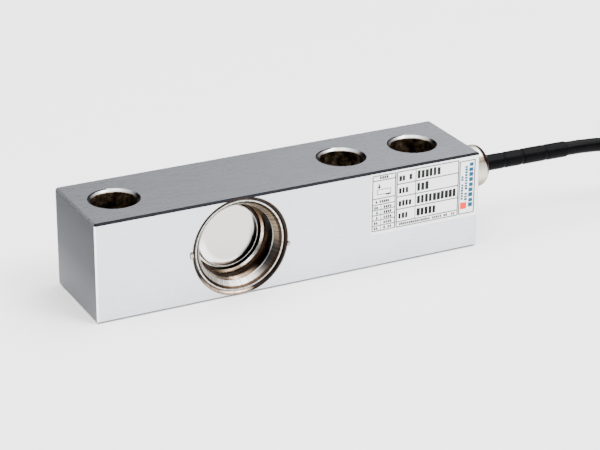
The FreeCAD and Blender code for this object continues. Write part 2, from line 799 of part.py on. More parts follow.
def cable_route():
    """The hand-laid line of the lead, from its cut jacket in the gland to the coil."""
    level = "tie_thickness + cable_diameter / 2"
    return [
        (f"{CABLE_END} - jacket_inside", GLAND_Y, GLAND_Z),
        (f"{CABLE_END} + lead_straight", GLAND_Y, GLAND_Z),
        (f"{CABLE_END} + lead_droop_at", GLAND_Y, f"{GLAND_Z} - lead_droop"),
        (f"{CABLE_END} + lead_fall_at", f"{GLAND_Y} - lead_fall_shift", f"{level} + lead_fall_height"),
        (f"{CABLE_END} + lead_floor_at", LEAD_Y, level),
        (f"{COIL_X} - coil_lead_in", LEAD_Y, level),
    ]


def make_cable():
    """The jacketed lead and the shrink sleeve that follows its first stretch out of the gland."""
    route, radius = points_of(cable_route()), value("cable_diameter") / 2
    tube, length = tube_along(route, radius, report="cable")
    print("cable tube", round(length, 1), "mm")
    lead = doc.addObject("Part::Feature", "Cable")
    lead.Shape = tube
    keep(lead, "cable")
    outer = tube_along(route, radius + value("sleeve_wall"))[0]
    start = value(f"{CABLE_END} + gland_flange_length - gland_nose_wall")
    reach = value(f"{CABLE_END} + sleeve_end") - start
    span = value("beam_height")
    corner = Vector(start, value(GLAND_Y) - span / 2, value(GLAND_Z) - span / 2)
    sleeve = doc.addObject("Part::Feature", "Sleeve")
    sleeve.Shape = outer.common(Part.makeBox(reach, span, span, corner)).cut(tube)
    keep(sleeve, "cable_sleeve")


def arc_tube(radius, section, start, angle, height, hollow=None):
    """A round bar bent about the coil's axis, from a start angle, both in degrees."""
    ring = Part.makeCircle(section, Vector(radius, 0, height), Vector(0, 1, 0))
    face = Part.Face(Part.Wire([ring]))
    if hollow:
        inner = Part.makeCircle(hollow, Vector(radius, 0, height), Vector(0, 1, 0))
        face = face.cut(Part.Face(Part.Wire([inner])))
    face.rotate(Vector(), Vector(0, 0, 1), start)
    return face.revolve(Vector(), Vector(0, 0, 1), angle)


TAIL_START = -90.0
TIE_ANGLES = (115.0, 205.0)
# Where each core sits round the lead's axis, in order from the coil's middle outwards.
BUNCH_ANGLES = (162.0, 234.0, 90.0, 306.0, 18.0)
# How far along the bare end each point lies, and how far the cores have fanned out there.
FAN = ((0.005, 0.0), (0.2, 0.0), (0.42, 0.5), (0.66, 1.0), (0.83, 1.0), (1.0, 1.0))


def make_coil():
    """The put-away turns as one ring, with the straight lead-in and the tail that lies on top."""
    body_radius, half = value("coil_diameter") / 2, value("cable_diameter") / 2
    width, height = value(COIL_WIDTH), value(COIL_HEIGHT)
    floor_gap = value("tie_thickness")
    outer = body_radius + width / 2
    bundle = Part.makeCylinder(outer, height, Vector(0, 0, floor_gap))
    bundle = bundle.cut(Part.makeCylinder(outer - width, height, Vector(0, 0, floor_gap)))
    rims = [e for e in bundle.Edges if isinstance(e.Curve, Part.Circle)]
    bundle = bundle.makeFillet(half - value("coil_rim_flat"), rims)
    run = value("coil_lead_in")
    start = Vector(-run, half - outer, floor_gap + half)
    lead_in = Part.makeCylinder(half, run, start, Vector(1, 0, 0))
    top = floor_gap + height + half + value("tail_lift")
    tail_turn = value("tail_angle") + value("tail_ramp_angle")
    tail = arc_tube(body_radius, half, TAIL_START, tail_turn, top)
    foot = arc_tube(body_radius, half, TAIL_START, value("tail_ramp_angle"), top - half)
    coil = bundle.fuse(lead_in).fuse(tail).fuse(foot).removeSplitter()
    made = doc.addObject("Part::Feature", "Coil")
    made.Shape = coil
    place(made, COIL_X, COIL_Y, "0")
    keep(made, "cable_coil")


def upright_face(middle, width, low, height):
    """A rectangle in the XZ plane, centred on x = middle."""
    left, right = middle - width / 2, middle + width / 2
    corners = [(left, low), (right, low), (right, low + height), (left, low + height), (left, low)]
    return Part.Face(Part.makePolygon([Vector(x, 0, z) for x, z in corners]))


def make_ties():
    """Two flat ties round the bundle of turns, a quarter turn apart."""
    thick, wide = value("tie_thickness"), value("tie_width")
    width, height = value(COIL_WIDTH), value(COIL_HEIGHT)
    middle = value("coil_diameter") / 2
    ties = []
    turn = math.degrees(wide / middle)
    for angle in TIE_ANGLES:
        outer = upright_face(middle, width + 2 * thick, 0, height + 2 * thick)
        inner = upright_face(middle, width, thick, height)
        loop = outer.cut(inner).revolve(Vector(), Vector(0, 0, 1), turn)
        loop.rotate(Vector(), Vector(0, 0, 1), angle)
        ties.append(loop)
    made = doc.addObject("Part::Feature", "Ties")
    made.Shape = Part.makeCompound(ties)
    place(made, COIL_X, COIL_Y, "0")
    keep(made, "coil_ties")


def end_core_route(index, jacket_end, top):
    """One core's line: bunched in the band, then fanned out and down on top of the coil."""
    core, middle = value("end_core_diameter") / 2, value("coil_diameter") / 2
    bunch = math.radians(BUNCH_ANGLES[index])
    ring = value("end_core_diameter") + value("bunch_play")
    out, low = (index - 2) * value("end_core_pitch"), value("tie_thickness") + value(COIL_HEIGHT) + core
    points = []
    for share, spread in FAN:
        angle = math.radians(jacket_end + share * value("end_core_angle"))
        radius = middle + (1 - spread) * ring * math.cos(bunch) + spread * out
        level = (1 - spread) * (top + ring * math.sin(bunch)) + spread * low
        points.append(Vector(radius * math.cos(angle), radius * math.sin(angle), level))
    return points


def make_bare_end():
    """The band where the jacket stops, five cores that fan out on the coil, and their bare tips."""
    half, middle = value("cable_diameter") / 2, value("coil_diameter") / 2
    top = value("tie_thickness") + value(COIL_HEIGHT) + half + value("tail_lift")
    jacket_end = TAIL_START + value("tail_angle") + value("tail_ramp_angle")
    start = jacket_end + value("band_beyond_jacket - band_angle")
    band = doc.addObject("Part::Feature", "EndBand")
    band.Shape = arc_tube(middle, half + value("band_wall"), start, value("band_angle"), top, half)
    place(band, COIL_X, COIL_Y, "0")
    keep(band, "end_band")
    tips = []
    for i, colour in enumerate(END_COLOURS):
        points = end_core_route(i, jacket_end, top)
        wire = doc.addObject("Part::Feature", f"EndCore{i + 1}")
        wire.Shape = tube_along(points, value("end_core_diameter") / 2)[0]
        place(wire, COIL_X, COIL_Y, "0")
        keep(wire, f"end_core_{colour}")
        along = (points[-1] - points[-2]).normalize()
        tips.append(Part.makeCylinder(value("tip_diameter") / 2, value("tip_length"), points[-1], along))
    bare = doc.addObject("Part::Feature", "EndTips")
    bare.Shape = Part.makeCompound(tips)
    place(bare, COIL_X, COIL_Y, "0")
    keep(bare, "end_tips")


# ---------------------------------------------------------------- label


def make_label():
    """A thin printed sheet on the front face, close to the cable end."""
    body = new_body("LabelBody")
    section = sketch_on(body, "LabelOutline", "XZ_Plane", "beam_width / 2")
    x = f"{CABLE_END} - label_from_end - label_length / 2"
    z = "beam_height - label_below_top - label_height / 2"
    rectangle(section, x, z, "label_length", "label_height")
    feature(body, "Pad", "LabelSheet", section, Length="label_thickness")
    keep(body, "label")


def check_and_export():
    """Stops at a failed object or a broken solid, then writes one STEP file for each sub-part."""
    doc.recompute()
    failed = [o.Name for o in doc.Objects if "Invalid" in o.State or "Error" in o.State]
    assert not failed, f"failed objects: {failed}"
    for piece in sub_parts:
        shape = piece.Shape
        assert not shape.isNull() and shape.isValid() and shape.Solids, piece.Label
    os.makedirs("parts", exist_ok=True)
    for piece in sub_parts:
        piece.Shape.exportStep(f"parts/{piece.Label}.step")


make_beam()
for side in SIDES:
    make_cup(side)
    make_weld_bead(side)
    make_plate(
        f"{side}Backing", f"{side}_gauge_backing", side, "0", "0",
        "gauge_width", "gauge_height", "gauge_backing", rounding="edge_chamfer",
    )
    make_gauge_foil(side)
    make_terminal_strip(side)
    make_jumpers(side)
make_compensation_board()
make_inner_cores()
make_web_wires()
make_gland_body()
make_gland_inside()
make_cable()
make_coil()
make_ties()
make_bare_end()
make_label()
check_and_export()
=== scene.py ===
"""Looks of a shear beam load cell: plated beam, drawn cups, welds, gland, label and stored lead."""

import math

import bmesh
import bpy
import numpy as np
from mathutils import Matrix, Vector


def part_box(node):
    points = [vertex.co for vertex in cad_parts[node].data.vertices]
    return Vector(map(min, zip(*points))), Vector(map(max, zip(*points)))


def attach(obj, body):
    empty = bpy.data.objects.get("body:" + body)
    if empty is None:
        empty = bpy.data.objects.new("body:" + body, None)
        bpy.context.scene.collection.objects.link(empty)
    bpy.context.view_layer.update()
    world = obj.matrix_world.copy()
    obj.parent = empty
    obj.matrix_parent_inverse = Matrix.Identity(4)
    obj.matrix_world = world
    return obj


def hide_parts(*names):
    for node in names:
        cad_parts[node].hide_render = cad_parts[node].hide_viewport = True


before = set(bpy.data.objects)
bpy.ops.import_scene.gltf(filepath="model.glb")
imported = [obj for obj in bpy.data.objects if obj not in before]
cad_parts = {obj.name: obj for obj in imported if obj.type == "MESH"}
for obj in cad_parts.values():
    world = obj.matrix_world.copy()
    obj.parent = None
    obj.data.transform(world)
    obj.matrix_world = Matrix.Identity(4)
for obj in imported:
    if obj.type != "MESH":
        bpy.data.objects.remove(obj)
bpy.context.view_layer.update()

bl_info = {
    "name": "Shear beam load cell",
    "version": (1, 0, 0),
    "blender": (4, 5, 0),
    "location": "View3D > Sidebar > Load cell",
    "description": "Dresses the packed load cell with its finishes, cups, welds, label and lead",
    "category": "Object",
}

MM = 0.001
BEAM_LOW, BEAM_HIGH = (np.array(corner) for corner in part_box("beam"))
POCKET = np.array([BEAM_LOW[0] + 46.7 * MM, 0.0, (BEAM_LOW[2] + BEAM_HIGH[2]) / 2])
LOAD_END, FLANK, TOP = float(BEAM_LOW[0]), float(BEAM_HIGH[1]), float(BEAM_HIGH[2])
BROKEN_EDGE = 0.72 * MM  # how far the dark of the long upper edges reaches
GLAND = (float(BEAM_HIGH[0]), -7.0 * MM, TOP - 8.2 * MM)  # middle of the cable entry
# The stored coil, in millimetres: its middle, the radius and level at which the jacket ends on it,
# and the direction of that end in degrees.
COIL_X, COIL_Y, TAIL_RADIUS, TAIL_LEVEL, TAIL_TURN = 160.0, 16.0, 23.0, 26.4, 7.0
CORES = {"red": "#B02A22", "white": "#D8D6CC", "green": "#1F7A3C", "blue": "#21478F", "black": "#151517"}
BORE, SINK = 7.0 * MM, 7.9 * MM  # radius of the holes and of their countersinks
BEAD_INNER, BEAD_OUTER = 14.72 * MM, 15.64 * MM  # radii between which the weld beads lie
BLACK, TEAL, RED = range(3)  # the label's inks, in the order of its materials
HOLE_GRID = 25.4 * MM
HOLES = (-88.9 * MM, -12.7 * MM, 12.7 * MM)
SIDES = {"front": 1.0, "rear": -1.0}


# ---------------------------------------------------------------- sizes and colours


class LoadCellSizes(bpy.types.PropertyGroup):
    """Sizes of the pieces that are made here, in metres."""

    bead_height: bpy.props.FloatProperty(
        name="Bead height", description="How far the weld stands proud of the beam",
        default=0.16 * MM, subtype="DISTANCE", unit="LENGTH")
    bead_ripple: bpy.props.FloatProperty(
        name="Bead ripple", description="Spacing of the ripples along the weld",
        default=0.62 * MM, subtype="DISTANCE", unit="LENGTH")
    cup_sheet: bpy.props.FloatProperty(
        name="Cup sheet", description="Thickness of the drawn sheet of the cups",
        default=0.35 * MM, subtype="DISTANCE", unit="LENGTH")
    lead_diameter: bpy.props.FloatProperty(
        name="Lead diameter", description="Outer diameter of the jacketed lead",
        default=4.6 * MM, subtype="DISTANCE", unit="LENGTH")
    sleeve_diameter: bpy.props.FloatProperty(
        name="Sleeve diameter", description="Outer diameter of the shrink sleeve",
        default=5.2 * MM, subtype="DISTANCE", unit="LENGTH")
    core_diameter: bpy.props.FloatProperty(
        name="Core diameter", description="Outer diameter of each insulated core",
        default=1.2 * MM, subtype="DISTANCE", unit="LENGTH")


class LoadCellColours(bpy.types.PropertyGroup):
    """Main colours of the finishes, as sRGB hex values."""

    nickel: bpy.props.StringProperty(
        name="Nickel", description="Satin nickel plate of the beam", default="#DDDEE2")
    stainless: bpy.props.StringProperty(
        name="Stainless", description="Drawn stainless sheet of the cups", default="#C4C2BC")
    tint: bpy.props.StringProperty(
        name="Heat tint", description="Heat tint beside the welds", default="#2A211B")
    gland: bpy.props.StringProperty(
        name="Gland", description="Plated brass of the gland", default="#CFC6B8")
    jacket: bpy.props.StringProperty(
        name="Jacket", description="Jacket of the lead", default="#030304")
    label: bpy.props.StringProperty(
        name="Label", description="Film of the label", default="#F8F9FA")
    label_print: bpy.props.StringProperty(
        name="Label print", description="Ink of the lines on the label", default="#141312")
    label_teal: bpy.props.StringProperty(
        name="Label teal", description="Coloured field on the label", default="#0A4A66")
    label_red: bpy.props.StringProperty(
        name="Label red", description="Small square on the label", default="#E62A1A")


# ---------------------------------------------------------------- small helpers


def to_linear(code):
    """An sRGB hex colour as linear RGBA: c / 12.92 when dark, else ((c + 0.055) / 1.055) ^ 2.4."""
    raw = np.array([int(code[i:i + 2], 16) for i in (1, 3, 5)]) / 255.0
    linear = np.where(raw <= 0.04045, raw / 12.92, ((raw + 0.055) / 1.055) ** 2.4)
    return (*(float(c) for c in linear), 1.0)


def feed(node, inputs):
    """Feeds inputs with numbers, hex colours, sockets or nodes, which give their first live output."""
    for key, source in inputs.items():
        if isinstance(source, bpy.types.Node):
            source = next(socket for socket in source.outputs if socket.enabled)
        if isinstance(source, bpy.types.NodeSocket):
            node.id_data.links.new(source, node.inputs[key])
        else:
            node.inputs[key].default_value = to_linear(source) if isinstance(source, str) else source


def add_node(tree, kind, inputs=None, stops=None, **settings):
    """Adds one node with its settings, its inputs and, on a ramp, its stops (position, colour)."""
    node = tree.nodes.new(kind)
    for name, setting in settings.items():
        setattr(node, name, setting)
    feed(node, inputs or {})
    if stops:
        stops = [(place, to_linear(c) if isinstance(c, str) else c) for place, c in stops]
        elements = node.color_ramp.elements
        elements[0].position, elements[0].color = stops[0]
        elements[1].position, elements[1].color = stops[-1]
        for place, colour in stops[1:-1]:
            elements.new(place).color = colour
    return node


def new_material(name, **values):
    """A material with its shader's constant values set, its tree, its shader and Object coordinates."""
    material = bpy.data.materials.new(name)
    material.use_nodes = True
    tree = material.node_tree
    shader = tree.nodes["Principled BSDF"]
    feed(shader, {key.replace("_", " "): number for key, number in values.items()})
    place = add_node(tree, "ShaderNodeTexCoord").outputs["Object"]
    return material, tree, shader, place


def dress(nodes, material):
    """Gives CAD nodes their finish in their own material slots."""
    for name in nodes:
        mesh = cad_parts[name].data
        mesh.materials.clear()
        mesh.materials.append(material)


def placed(name, data):
    """A new object with this data, linked to the scene at the origin."""
    piece = bpy.data.objects.new(name, data)
    bpy.context.scene.collection.objects.link(piece)
    return piece


def grid_mesh(name, points, material, close_rows=False, close_columns=True, attribute=None):
    """A smooth mesh from a grid of points, rows by columns by 3, with one quad in each cell.

    Doubled points at poles and seams are merged and the faces are turned outwards.
    """
    rows, columns = points.shape[:2]
    index = np.arange(rows * columns).reshape(rows, columns)
    if close_rows:
        index = np.vstack([index, index[:1]])
    if close_columns:
        index = np.hstack([index, index[:, :1]])
    quads = np.stack([index[:-1, :-1], index[:-1, 1:], index[1:, 1:], index[1:, :-1]], axis=-1)
    mesh = bpy.data.meshes.new(name)
    mesh.from_pydata(points.reshape(-1, 3).tolist(), [], quads.reshape(-1, 4).tolist())
    if attribute:
        layer = mesh.attributes.new(attribute[0], "FLOAT", "POINT")
        layer.data.foreach_set("value", attribute[1].astype(np.float32).ravel())
    shell = bmesh.new()
    shell.from_mesh(mesh)
    bmesh.ops.remove_doubles(shell, verts=shell.verts, dist=1e-7)
    bmesh.ops.recalc_face_normals(shell, faces=shell.faces)
    shell.to_mesh(mesh)
    shell.free()
    mesh.materials.append(material)
    mesh.polygons.foreach_set("use_smooth", np.ones(len(mesh.polygons), bool))
    return placed(name, mesh)


def rounded(corners, steps=7):
    """A profile through corners (x, y, rounding): each rounding is an arc tangent to both sides."""
    spots = np.array([c[:2] for c in corners], float)
    line = [spots[:1]]
    for i in range(1, len(corners) - 1):
        before, corner, after = spots[i - 1:i + 2]
        towards = (before - corner) / np.linalg.norm(before - corner)
        away = (after - corner) / np.linalg.norm(after - corner)
        half = math.acos(np.clip(towards @ away, -1, 1)) / 2
        middle = (towards + away) / np.linalg.norm(towards + away)
        radius = corners[i][2]
        centre = corner + middle * radius / math.sin(half)
        swing = np.linspace(-1, 1, steps)[:, None] * (math.pi / 2 - half)
        side = (away - towards) / np.linalg.norm(away - towards)
        line.append(centre + radius * (-middle * np.cos(swing) + side * np.sin(swing)))
    line.append(spots[-1:])
    return np.vstack(line)


def even(line, step):
    """The same profile with more points: straight stretches are divided into pieces of one step."""
    gaps = np.linalg.norm(np.diff(line, axis=0), axis=1)
    counts = np.maximum(1, np.ceil(gaps / step)).astype(int)
    shares = [np.arange(n)[:, None] / n for n in counts]
    made = [a + (b - a) * s for a, b, s in zip(line[:-1], line[1:], shares)]
    return np.vstack([*made, line[-1:]])


def turned(profile, angles, side):
    """Profile (radius, depth) turned about a pocket's axis: x and z from radius, y from depth."""
    radius, depth = profile[:, :1], profile[:, 1:]
    x = POCKET[0] + radius * np.cos(angles) * side
    z = POCKET[2] + radius * np.sin(angles)
    y = side * (BEAM_LOW[1] + depth) + 0 * angles
    return np.stack([x, y, z], axis=-1)


def full_circle(steps):
    """Angles once round in even steps, as a row."""
    return np.linspace(0, 2 * math.pi, steps, endpoint=False)[None, :]


def carried(route, radii, steps):
    """A round tube along a route, its radius given at each point, on turning-free frames.

    A ring at each point is centre + radius * (cos v * side + sin v * up).
    """
    forward = np.gradient(route, axis=0)
    forward /= np.linalg.norm(forward, axis=1)[:, None]
    side = np.cross(forward, [0.0, 0.0, 1.0])
    side /= np.linalg.norm(side, axis=1)[:, None]
    up = np.cross(side, forward)
    angles = full_circle(steps)[..., None]
    return route[:, None] + radii[:, None, None] * (
        np.cos(angles) * side[:, None] + np.sin(angles) * up[:, None])


# ---------------------------------------------------------------- finishes


def off_axis(tree, place, centre, plane):
    """The offset from a point in one plane and its length, from Object coordinates."""
    offset = add_node(tree, "ShaderNodeVectorMath", {0: place, 1: centre}, operation="SUBTRACT")
    offset = add_node(tree, "ShaderNodeVectorMath", {0: offset, 1: plane}, operation="MULTIPLY")
    return offset, add_node(tree, "ShaderNodeVectorMath", {0: offset}, operation="LENGTH")


def pocket_polar(tree, place):
    """Distance from the pockets' axis and the direction round it, as a unit vector."""
    offset, radius = off_axis(tree, place, tuple(POCKET.tolist()), (1, 0, 1))
    return radius, add_node(tree, "ShaderNodeVectorMath", {0: offset}, operation="NORMALIZE")


def agreement(tree, around, degrees):
    """The cosine of the angle between the direction round the pocket and one given in degrees."""
    towards = (math.cos(math.radians(degrees)), 0.0, math.sin(math.radians(degrees)))
    return add_node(tree, "ShaderNodeVectorMath", {0: around, 1: towards}, operation="DOT_PRODUCT")


def overlaid(tree, colour, layers):
    """A colour with layers (mask, colour) laid over it one after another."""
    for mask, over in layers:
        colour = add_node(tree, "ShaderNodeMix", {0: mask, 6: colour, 7: over}, data_type="RGBA")
    return colour


def satin_nickel_plate(colours):
    """Satin nickel plate over a ground steel bar: cool grey, fine grinding grain, stained bores, with
    painted shade in the bores and on the load end, and painted reflections and highlights on the
    countersinks and the end's edges.
    """
    # A plated face mirrors its surroundings softly. Inside the holes the plate is thin and stained, and
    # painted shade darkens it further.
    material, tree, shader, place = new_material("SatinNickelPlate", Metallic=1.0)
    x, y, z = add_node(tree, "ShaderNodeSeparateXYZ", {0: place}).outputs
    near = None
    for hole in HOLES:
        _, reach = off_axis(tree, place, (hole, 0, 0), (1, 1, 0))
        near = reach if near is None else add_node(
            tree, "ShaderNodeMath", {0: near, 1: reach}, operation="MINIMUM")
    bore = add_node(tree, "ShaderNodeMapRange", {
        "Value": near, "From Min": BORE + 0.25 * MM, "From Max": BORE + 0.05 * MM})
    bore_stain_and_shade = add_node(tree, "ShaderNodeTexNoise", {
        "Vector": place, "Scale": 330.0, "Detail": 6.0, "Roughness": 0.65})
    bore_stain_and_shade = add_node(tree, "ShaderNodeValToRGB", {0: bore_stain_and_shade}, stops=[
        (0.34, "#050404"), (0.46, "#2A1E17"), (0.56, "#5A4A38"), (0.68, "#8E8068")])
    # The countersinks carry a painted reflection: bright on their far side and dark on their near side. All
    # three holes stand on one grid, so one wrapped length gives the way across each of them.
    across = add_node(tree, "ShaderNodeMath", {
        0: x, 1: HOLES[2] + HOLE_GRID / 2, 2: HOLES[2] - HOLE_GRID / 2}, operation="WRAP")
    across = add_node(tree, "ShaderNodeMath", {0: across, 1: HOLES[2]}, operation="SUBTRACT")
    side = add_node(tree, "ShaderNodeMath", {0: across, 1: 0.27, 2: y}, operation="MULTIPLY_ADD")
    side = add_node(tree, "ShaderNodeMath", {0: side, 1: near}, operation="DIVIDE")
    streak = add_node(tree, "ShaderNodeMapping", {"Vector": place, "Scale": (0.5, 0.5, 4.0)})
    streak = add_node(tree, "ShaderNodeTexNoise", {"Vector": streak, "Scale": 900.0, "Detail": 3.0})
    side = add_node(tree, "ShaderNodeMath", {0: streak, 1: 0.4, 2: side}, operation="MULTIPLY_ADD")
    # A painted dark arc lies along part of the countersink's outer edge, as part of its painted reflection.
    painted_dark_arc = add_node(tree, "ShaderNodeMapRange", {
        "Value": near, "From Min": SINK - 0.3 * MM, "From Max": SINK - 0.2 * MM})
    left = add_node(tree, "ShaderNodeMapRange", {
        "Value": across, "From Min": 0.5 * MM, "From Max": 2.0 * MM, "To Min": 0.8, "To Max": 0.0})
    painted_dark_arc = add_node(tree, "ShaderNodeMath", {0: painted_dark_arc, 1: left}, operation="MULTIPLY")
    side = add_node(tree, "ShaderNodeMath", {0: side, 1: painted_dark_arc}, operation="SUBTRACT")
    countersink_painted_reflection = add_node(tree, "ShaderNodeValToRGB", {0: side}, stops=[
        (0.36, "#050505"), (0.56, "#55514E"), (0.72, "#9A9A9B")])
    rim = add_node(tree, "ShaderNodeMapRange", {
        "Value": near, "From Min": SINK + 0.13 * MM, "From Max": SINK + 0.03 * MM})
    # Grinding grain about 0.3 mm wide, stretched along the bar, over faint clouds.
    grain = add_node(tree, "ShaderNodeMapping", {"Vector": place, "Scale": (0.06, 1.0, 1.0)})
    grain = add_node(tree, "ShaderNodeTexNoise", {"Vector": grain, "Scale": 3000.0, "Detail": 3.0})
    cloud = add_node(tree, "ShaderNodeTexNoise", {"Vector": place, "Scale": 45.0, "Detail": 4.0})
    # The saw-cut load end is duller than the ground sides; its colour is painted shade, darker than the
    # sides and darkest at its top.
    end = add_node(tree, "ShaderNodeMapRange", {
        "Value": x, "From Min": LOAD_END + 0.08 * MM, "From Max": LOAD_END + 0.02 * MM})
    height = add_node(tree, "ShaderNodeMapRange", {"Value": z, "From Max": TOP})
    painted_end_shade = add_node(tree, "ShaderNodeValToRGB", {0: height}, stops=[
        (0.0, "#7E7F83"), (0.5, "#4C4D51"), (1.0, "#2E2F33")])
    # The end's own broken edges carry a painted highlight.
    painted_edge_highlight = add_node(tree, "ShaderNodeMapRange", {
        "Value": x, "From Min": LOAD_END + 0.56 * MM, "From Max": LOAD_END + 0.5 * MM})
    painted_edge_highlight = add_node(tree, "ShaderNodeMath", {0: painted_edge_highlight, 1: end}, operation="SUBTRACT", use_clamp=True)
    # The broken upper edges stay bare and dark under the thin plate.
    away = add_node(tree, "ShaderNodeMath", {0: y}, operation="ABSOLUTE")
    outer = add_node(tree, "ShaderNodeMath", {0: away, 1: FLANK - BROKEN_EDGE}, operation="GREATER_THAN")
    upper = add_node(tree, "ShaderNodeMath", {0: z, 1: TOP - BROKEN_EDGE}, operation="GREATER_THAN")
    edge = add_node(tree, "ShaderNodeMath", {0: outer, 1: upper}, operation="MULTIPLY")
    # Brown heat tint on the plate just outside the weld round each pocket.
    pocket, _ = pocket_polar(tree, place)
    halo = add_node(tree, "ShaderNodeMapRange", {
        "Value": pocket, "From Min": BEAD_OUTER + 0.36 * MM, "From Max": BEAD_OUTER + 0.08 * MM})
    skin = add_node(tree, "ShaderNodeMath", {0: away, 1: FLANK - 0.05 * MM}, operation="GREATER_THAN")
    halo = add_node(tree, "ShaderNodeMath", {0: halo, 1: skin}, operation="MULTIPLY")
    colour = overlaid(tree, colours.nickel, [
        (cloud, "#C8CBD1"), (end, painted_end_shade), (painted_edge_highlight, "#FDFDFD"), (edge, "#0A0A0C"), (halo, "#15100E"),
        (rim, countersink_painted_reflection), (bore, bore_stain_and_shade)])
    rough = add_node(tree, "ShaderNodeMapRange", {"Value": grain, "To Min": 0.25, "To Max": 0.31})
    for mask, dull in ((bore, 0.55), (end, 0.6)):
        rough = add_node(tree, "ShaderNodeMix", {0: mask, 2: rough, 3: dull})
    bump = add_node(tree, "ShaderNodeBump", {"Strength": 0.02, "Distance": 0.01 * MM, "Height": grain})
    feed(shader, {"Base Color": colour, "Roughness": rough, "Normal": bump})
    return material


def drawn_stainless(colours, marks):
    """Thin drawn stainless sheet, tinted by the weld, with painted reflections: light and dark bands down
    its wall that change round the cup.

    The tints follow the attribute "along", the distance in mm from the lip inwards. The marks are
    that distance at the lip's edge, flare, throat, ledge, slit, foot of the slit, foot of the disc,
    its rim, its crown and its centre.
    """
    material, tree, shader, place = new_material("DrawnStainless", Metallic=1.0)
    lip, flare, throat, ledge, slit, floor, foot, rim, crown, end = marks
    along = add_node(tree, "ShaderNodeAttribute", attribute_name="along").outputs["Fac"]
    share = add_node(tree, "ShaderNodeMapRange", {"Value": along, "From Max": end})
    # Besides the weld's heat tint, the near-black colour is painted dark reflection down the wall, and the
    # two palest colours are painted highlights on the lip and on the disc's rim.
    oxide, scale, painted_lip_highlight, rim_band = "#1A1410", "#100C0A", "#EAE8E4", "#F6F5F3"

    def tints(flare_code, near_code, far_code, ledge_code, floor_code, bevel_code, wide):
        stops = [
            (0.0, oxide), (0.25, oxide), (0.36, painted_lip_highlight), (lip - 0.05, painted_lip_highlight), (lip + 0.15, "#2E231B"),
            (flare - 0.2, "#4B3A2C"), (flare + 0.1, flare_code), (throat - 0.25, flare_code),
            (throat - 0.08, "#F3F1ED"), (throat + 0.12, "#F3F1ED"), (throat + 0.25, scale),
            (throat + 0.6, near_code), (throat + 1.6, near_code), (throat + 2.4, scale),
            (ledge - 1.6, far_code), (ledge - 0.5, far_code), (ledge - 0.2, "#8C7860"),
            (ledge + 0.1, ledge_code), (slit - 0.05, ledge_code), (slit + 0.1, scale),
            (floor - 0.2, scale), (floor + 0.1, floor_code), (foot - 0.1, floor_code),
            (rim - 0.6, scale), (rim - 0.45, rim_band), (rim + 0.25, rim_band), (rim + 0.35, bevel_code),
            (crown + wide, bevel_code), (crown + wide + 1.2, colours.stainless), (end, colours.stainless)]
        return add_node(tree, "ShaderNodeValToRGB", {0: share}, stops=[(mm / end, c) for mm, c in stops])

    # Painted reflections: the wall, flare and ledge get lighter and darker colours that differ round the
    # cup: low, on the right and at the top.
    radius, around = pocket_polar(tree, place)
    layers = []
    for degrees, low, high, codes in (
            (-118.0, 0.35, 0.75, ("#F4F2EE", "#D8BBA2", "#4A3B30", "#6A5A4C", "#CFCAC2", "#FBFAF8", 0.1)),
            (-18.0, 0.6, 0.9, ("#4C4A49", "#0C0908", "#6A4B36", "#F8F6F2", "#0E0C0B", "#121216", 0.3)),
            (60.0, 0.3, 0.8, (
                "#B3A38B", "#0C0908", "#3A2A20", "#9A866E", "#2B241F", colours.stainless, 0.0))):
        side = add_node(tree, "ShaderNodeMapRange", {
            "Value": agreement(tree, around, degrees), "From Min": low, "From Max": high})
        layers.append((side, tints(*codes)))
    # Low on the right the disc carries a painted reflection of the wall: a dark crescent painted inside its
    # rim.
    centre = (float(POCKET[0]) - 5.43 * MM, 0.0, float(POCKET[2]) + 4.09 * MM)
    _, moon = off_axis(tree, place, centre, (1, 0, 1))
    moon = add_node(tree, "ShaderNodeMapRange", {
        "Value": moon, "From Min": 14.3 * MM, "From Max": 15.5 * MM})
    disc = add_node(tree, "ShaderNodeMath", {0: along, 1: rim + 0.3}, operation="GREATER_THAN")
    moon = add_node(tree, "ShaderNodeMath", {0: moon, 1: disc}, operation="MULTIPLY")
    plain = tints("#C9C3B9", "#2C2019", "#4A3B30", "#6A5A4C", "#CFCAC2", colours.stainless, 0.0)
    tint = overlaid(tree, plain, [*layers, (moon, "#0E0F14")])
    # Fine radial marks of the drawing tool, about 0.4 mm apart at the flare.
    strokes = add_node(tree, "ShaderNodeTexNoise", {"Vector": around, "Scale": 34.0, "Detail": 4.0})
    flared = add_node(tree, "ShaderNodeMapRange", {
        "Value": radius, "From Min": 12.3 * MM, "From Max": 12.45 * MM})
    shade = add_node(tree, "ShaderNodeMapRange", {
        "Value": strokes, "From Min": 0.36, "From Max": 0.62, "To Min": 0.35})
    shade = add_node(tree, "ShaderNodeMix", {0: flared, 2: 1.0, 3: shade})
    tint = add_node(tree, "ShaderNodeVectorMath", {0: tint, 3: shade}, operation="SCALE")
    # The pressed disc is the smoothest, the wall duller and the flare dullest. At the rim the metal is made
    # partly diffuse under its pale colour, as a painted highlight.
    rough = add_node(tree, "ShaderNodeMapRange", {
        "Value": radius, "From Min": 10.9 * MM, "From Max": 11.2 * MM, "To Min": 0.12, "To Max": 0.27})
    painted_rim_highlight = add_node(tree, "ShaderNodeMath", {0: along, 1: rim - 0.08, 2: 0.33}, operation="COMPARE")
    for mask, dull in ((painted_rim_highlight, 0.6), (flared, 0.42)):
        rough = add_node(tree, "ShaderNodeMix", {0: mask, 2: rough, 3: dull})
    metal = add_node(tree, "ShaderNodeMapRange", {"Value": painted_rim_highlight, "To Min": 1.0, "To Max": 0.2})
    height = add_node(tree, "ShaderNodeMath", {0: strokes, 1: flared}, operation="MULTIPLY")
    bump = add_node(tree, "ShaderNodeBump", {"Strength": 0.35, "Distance": 0.03 * MM, "Height": height})
    feed(shader, {"Base Color": tint, "Roughness": rough, "Metallic": metal, "Normal": bump})
    return material


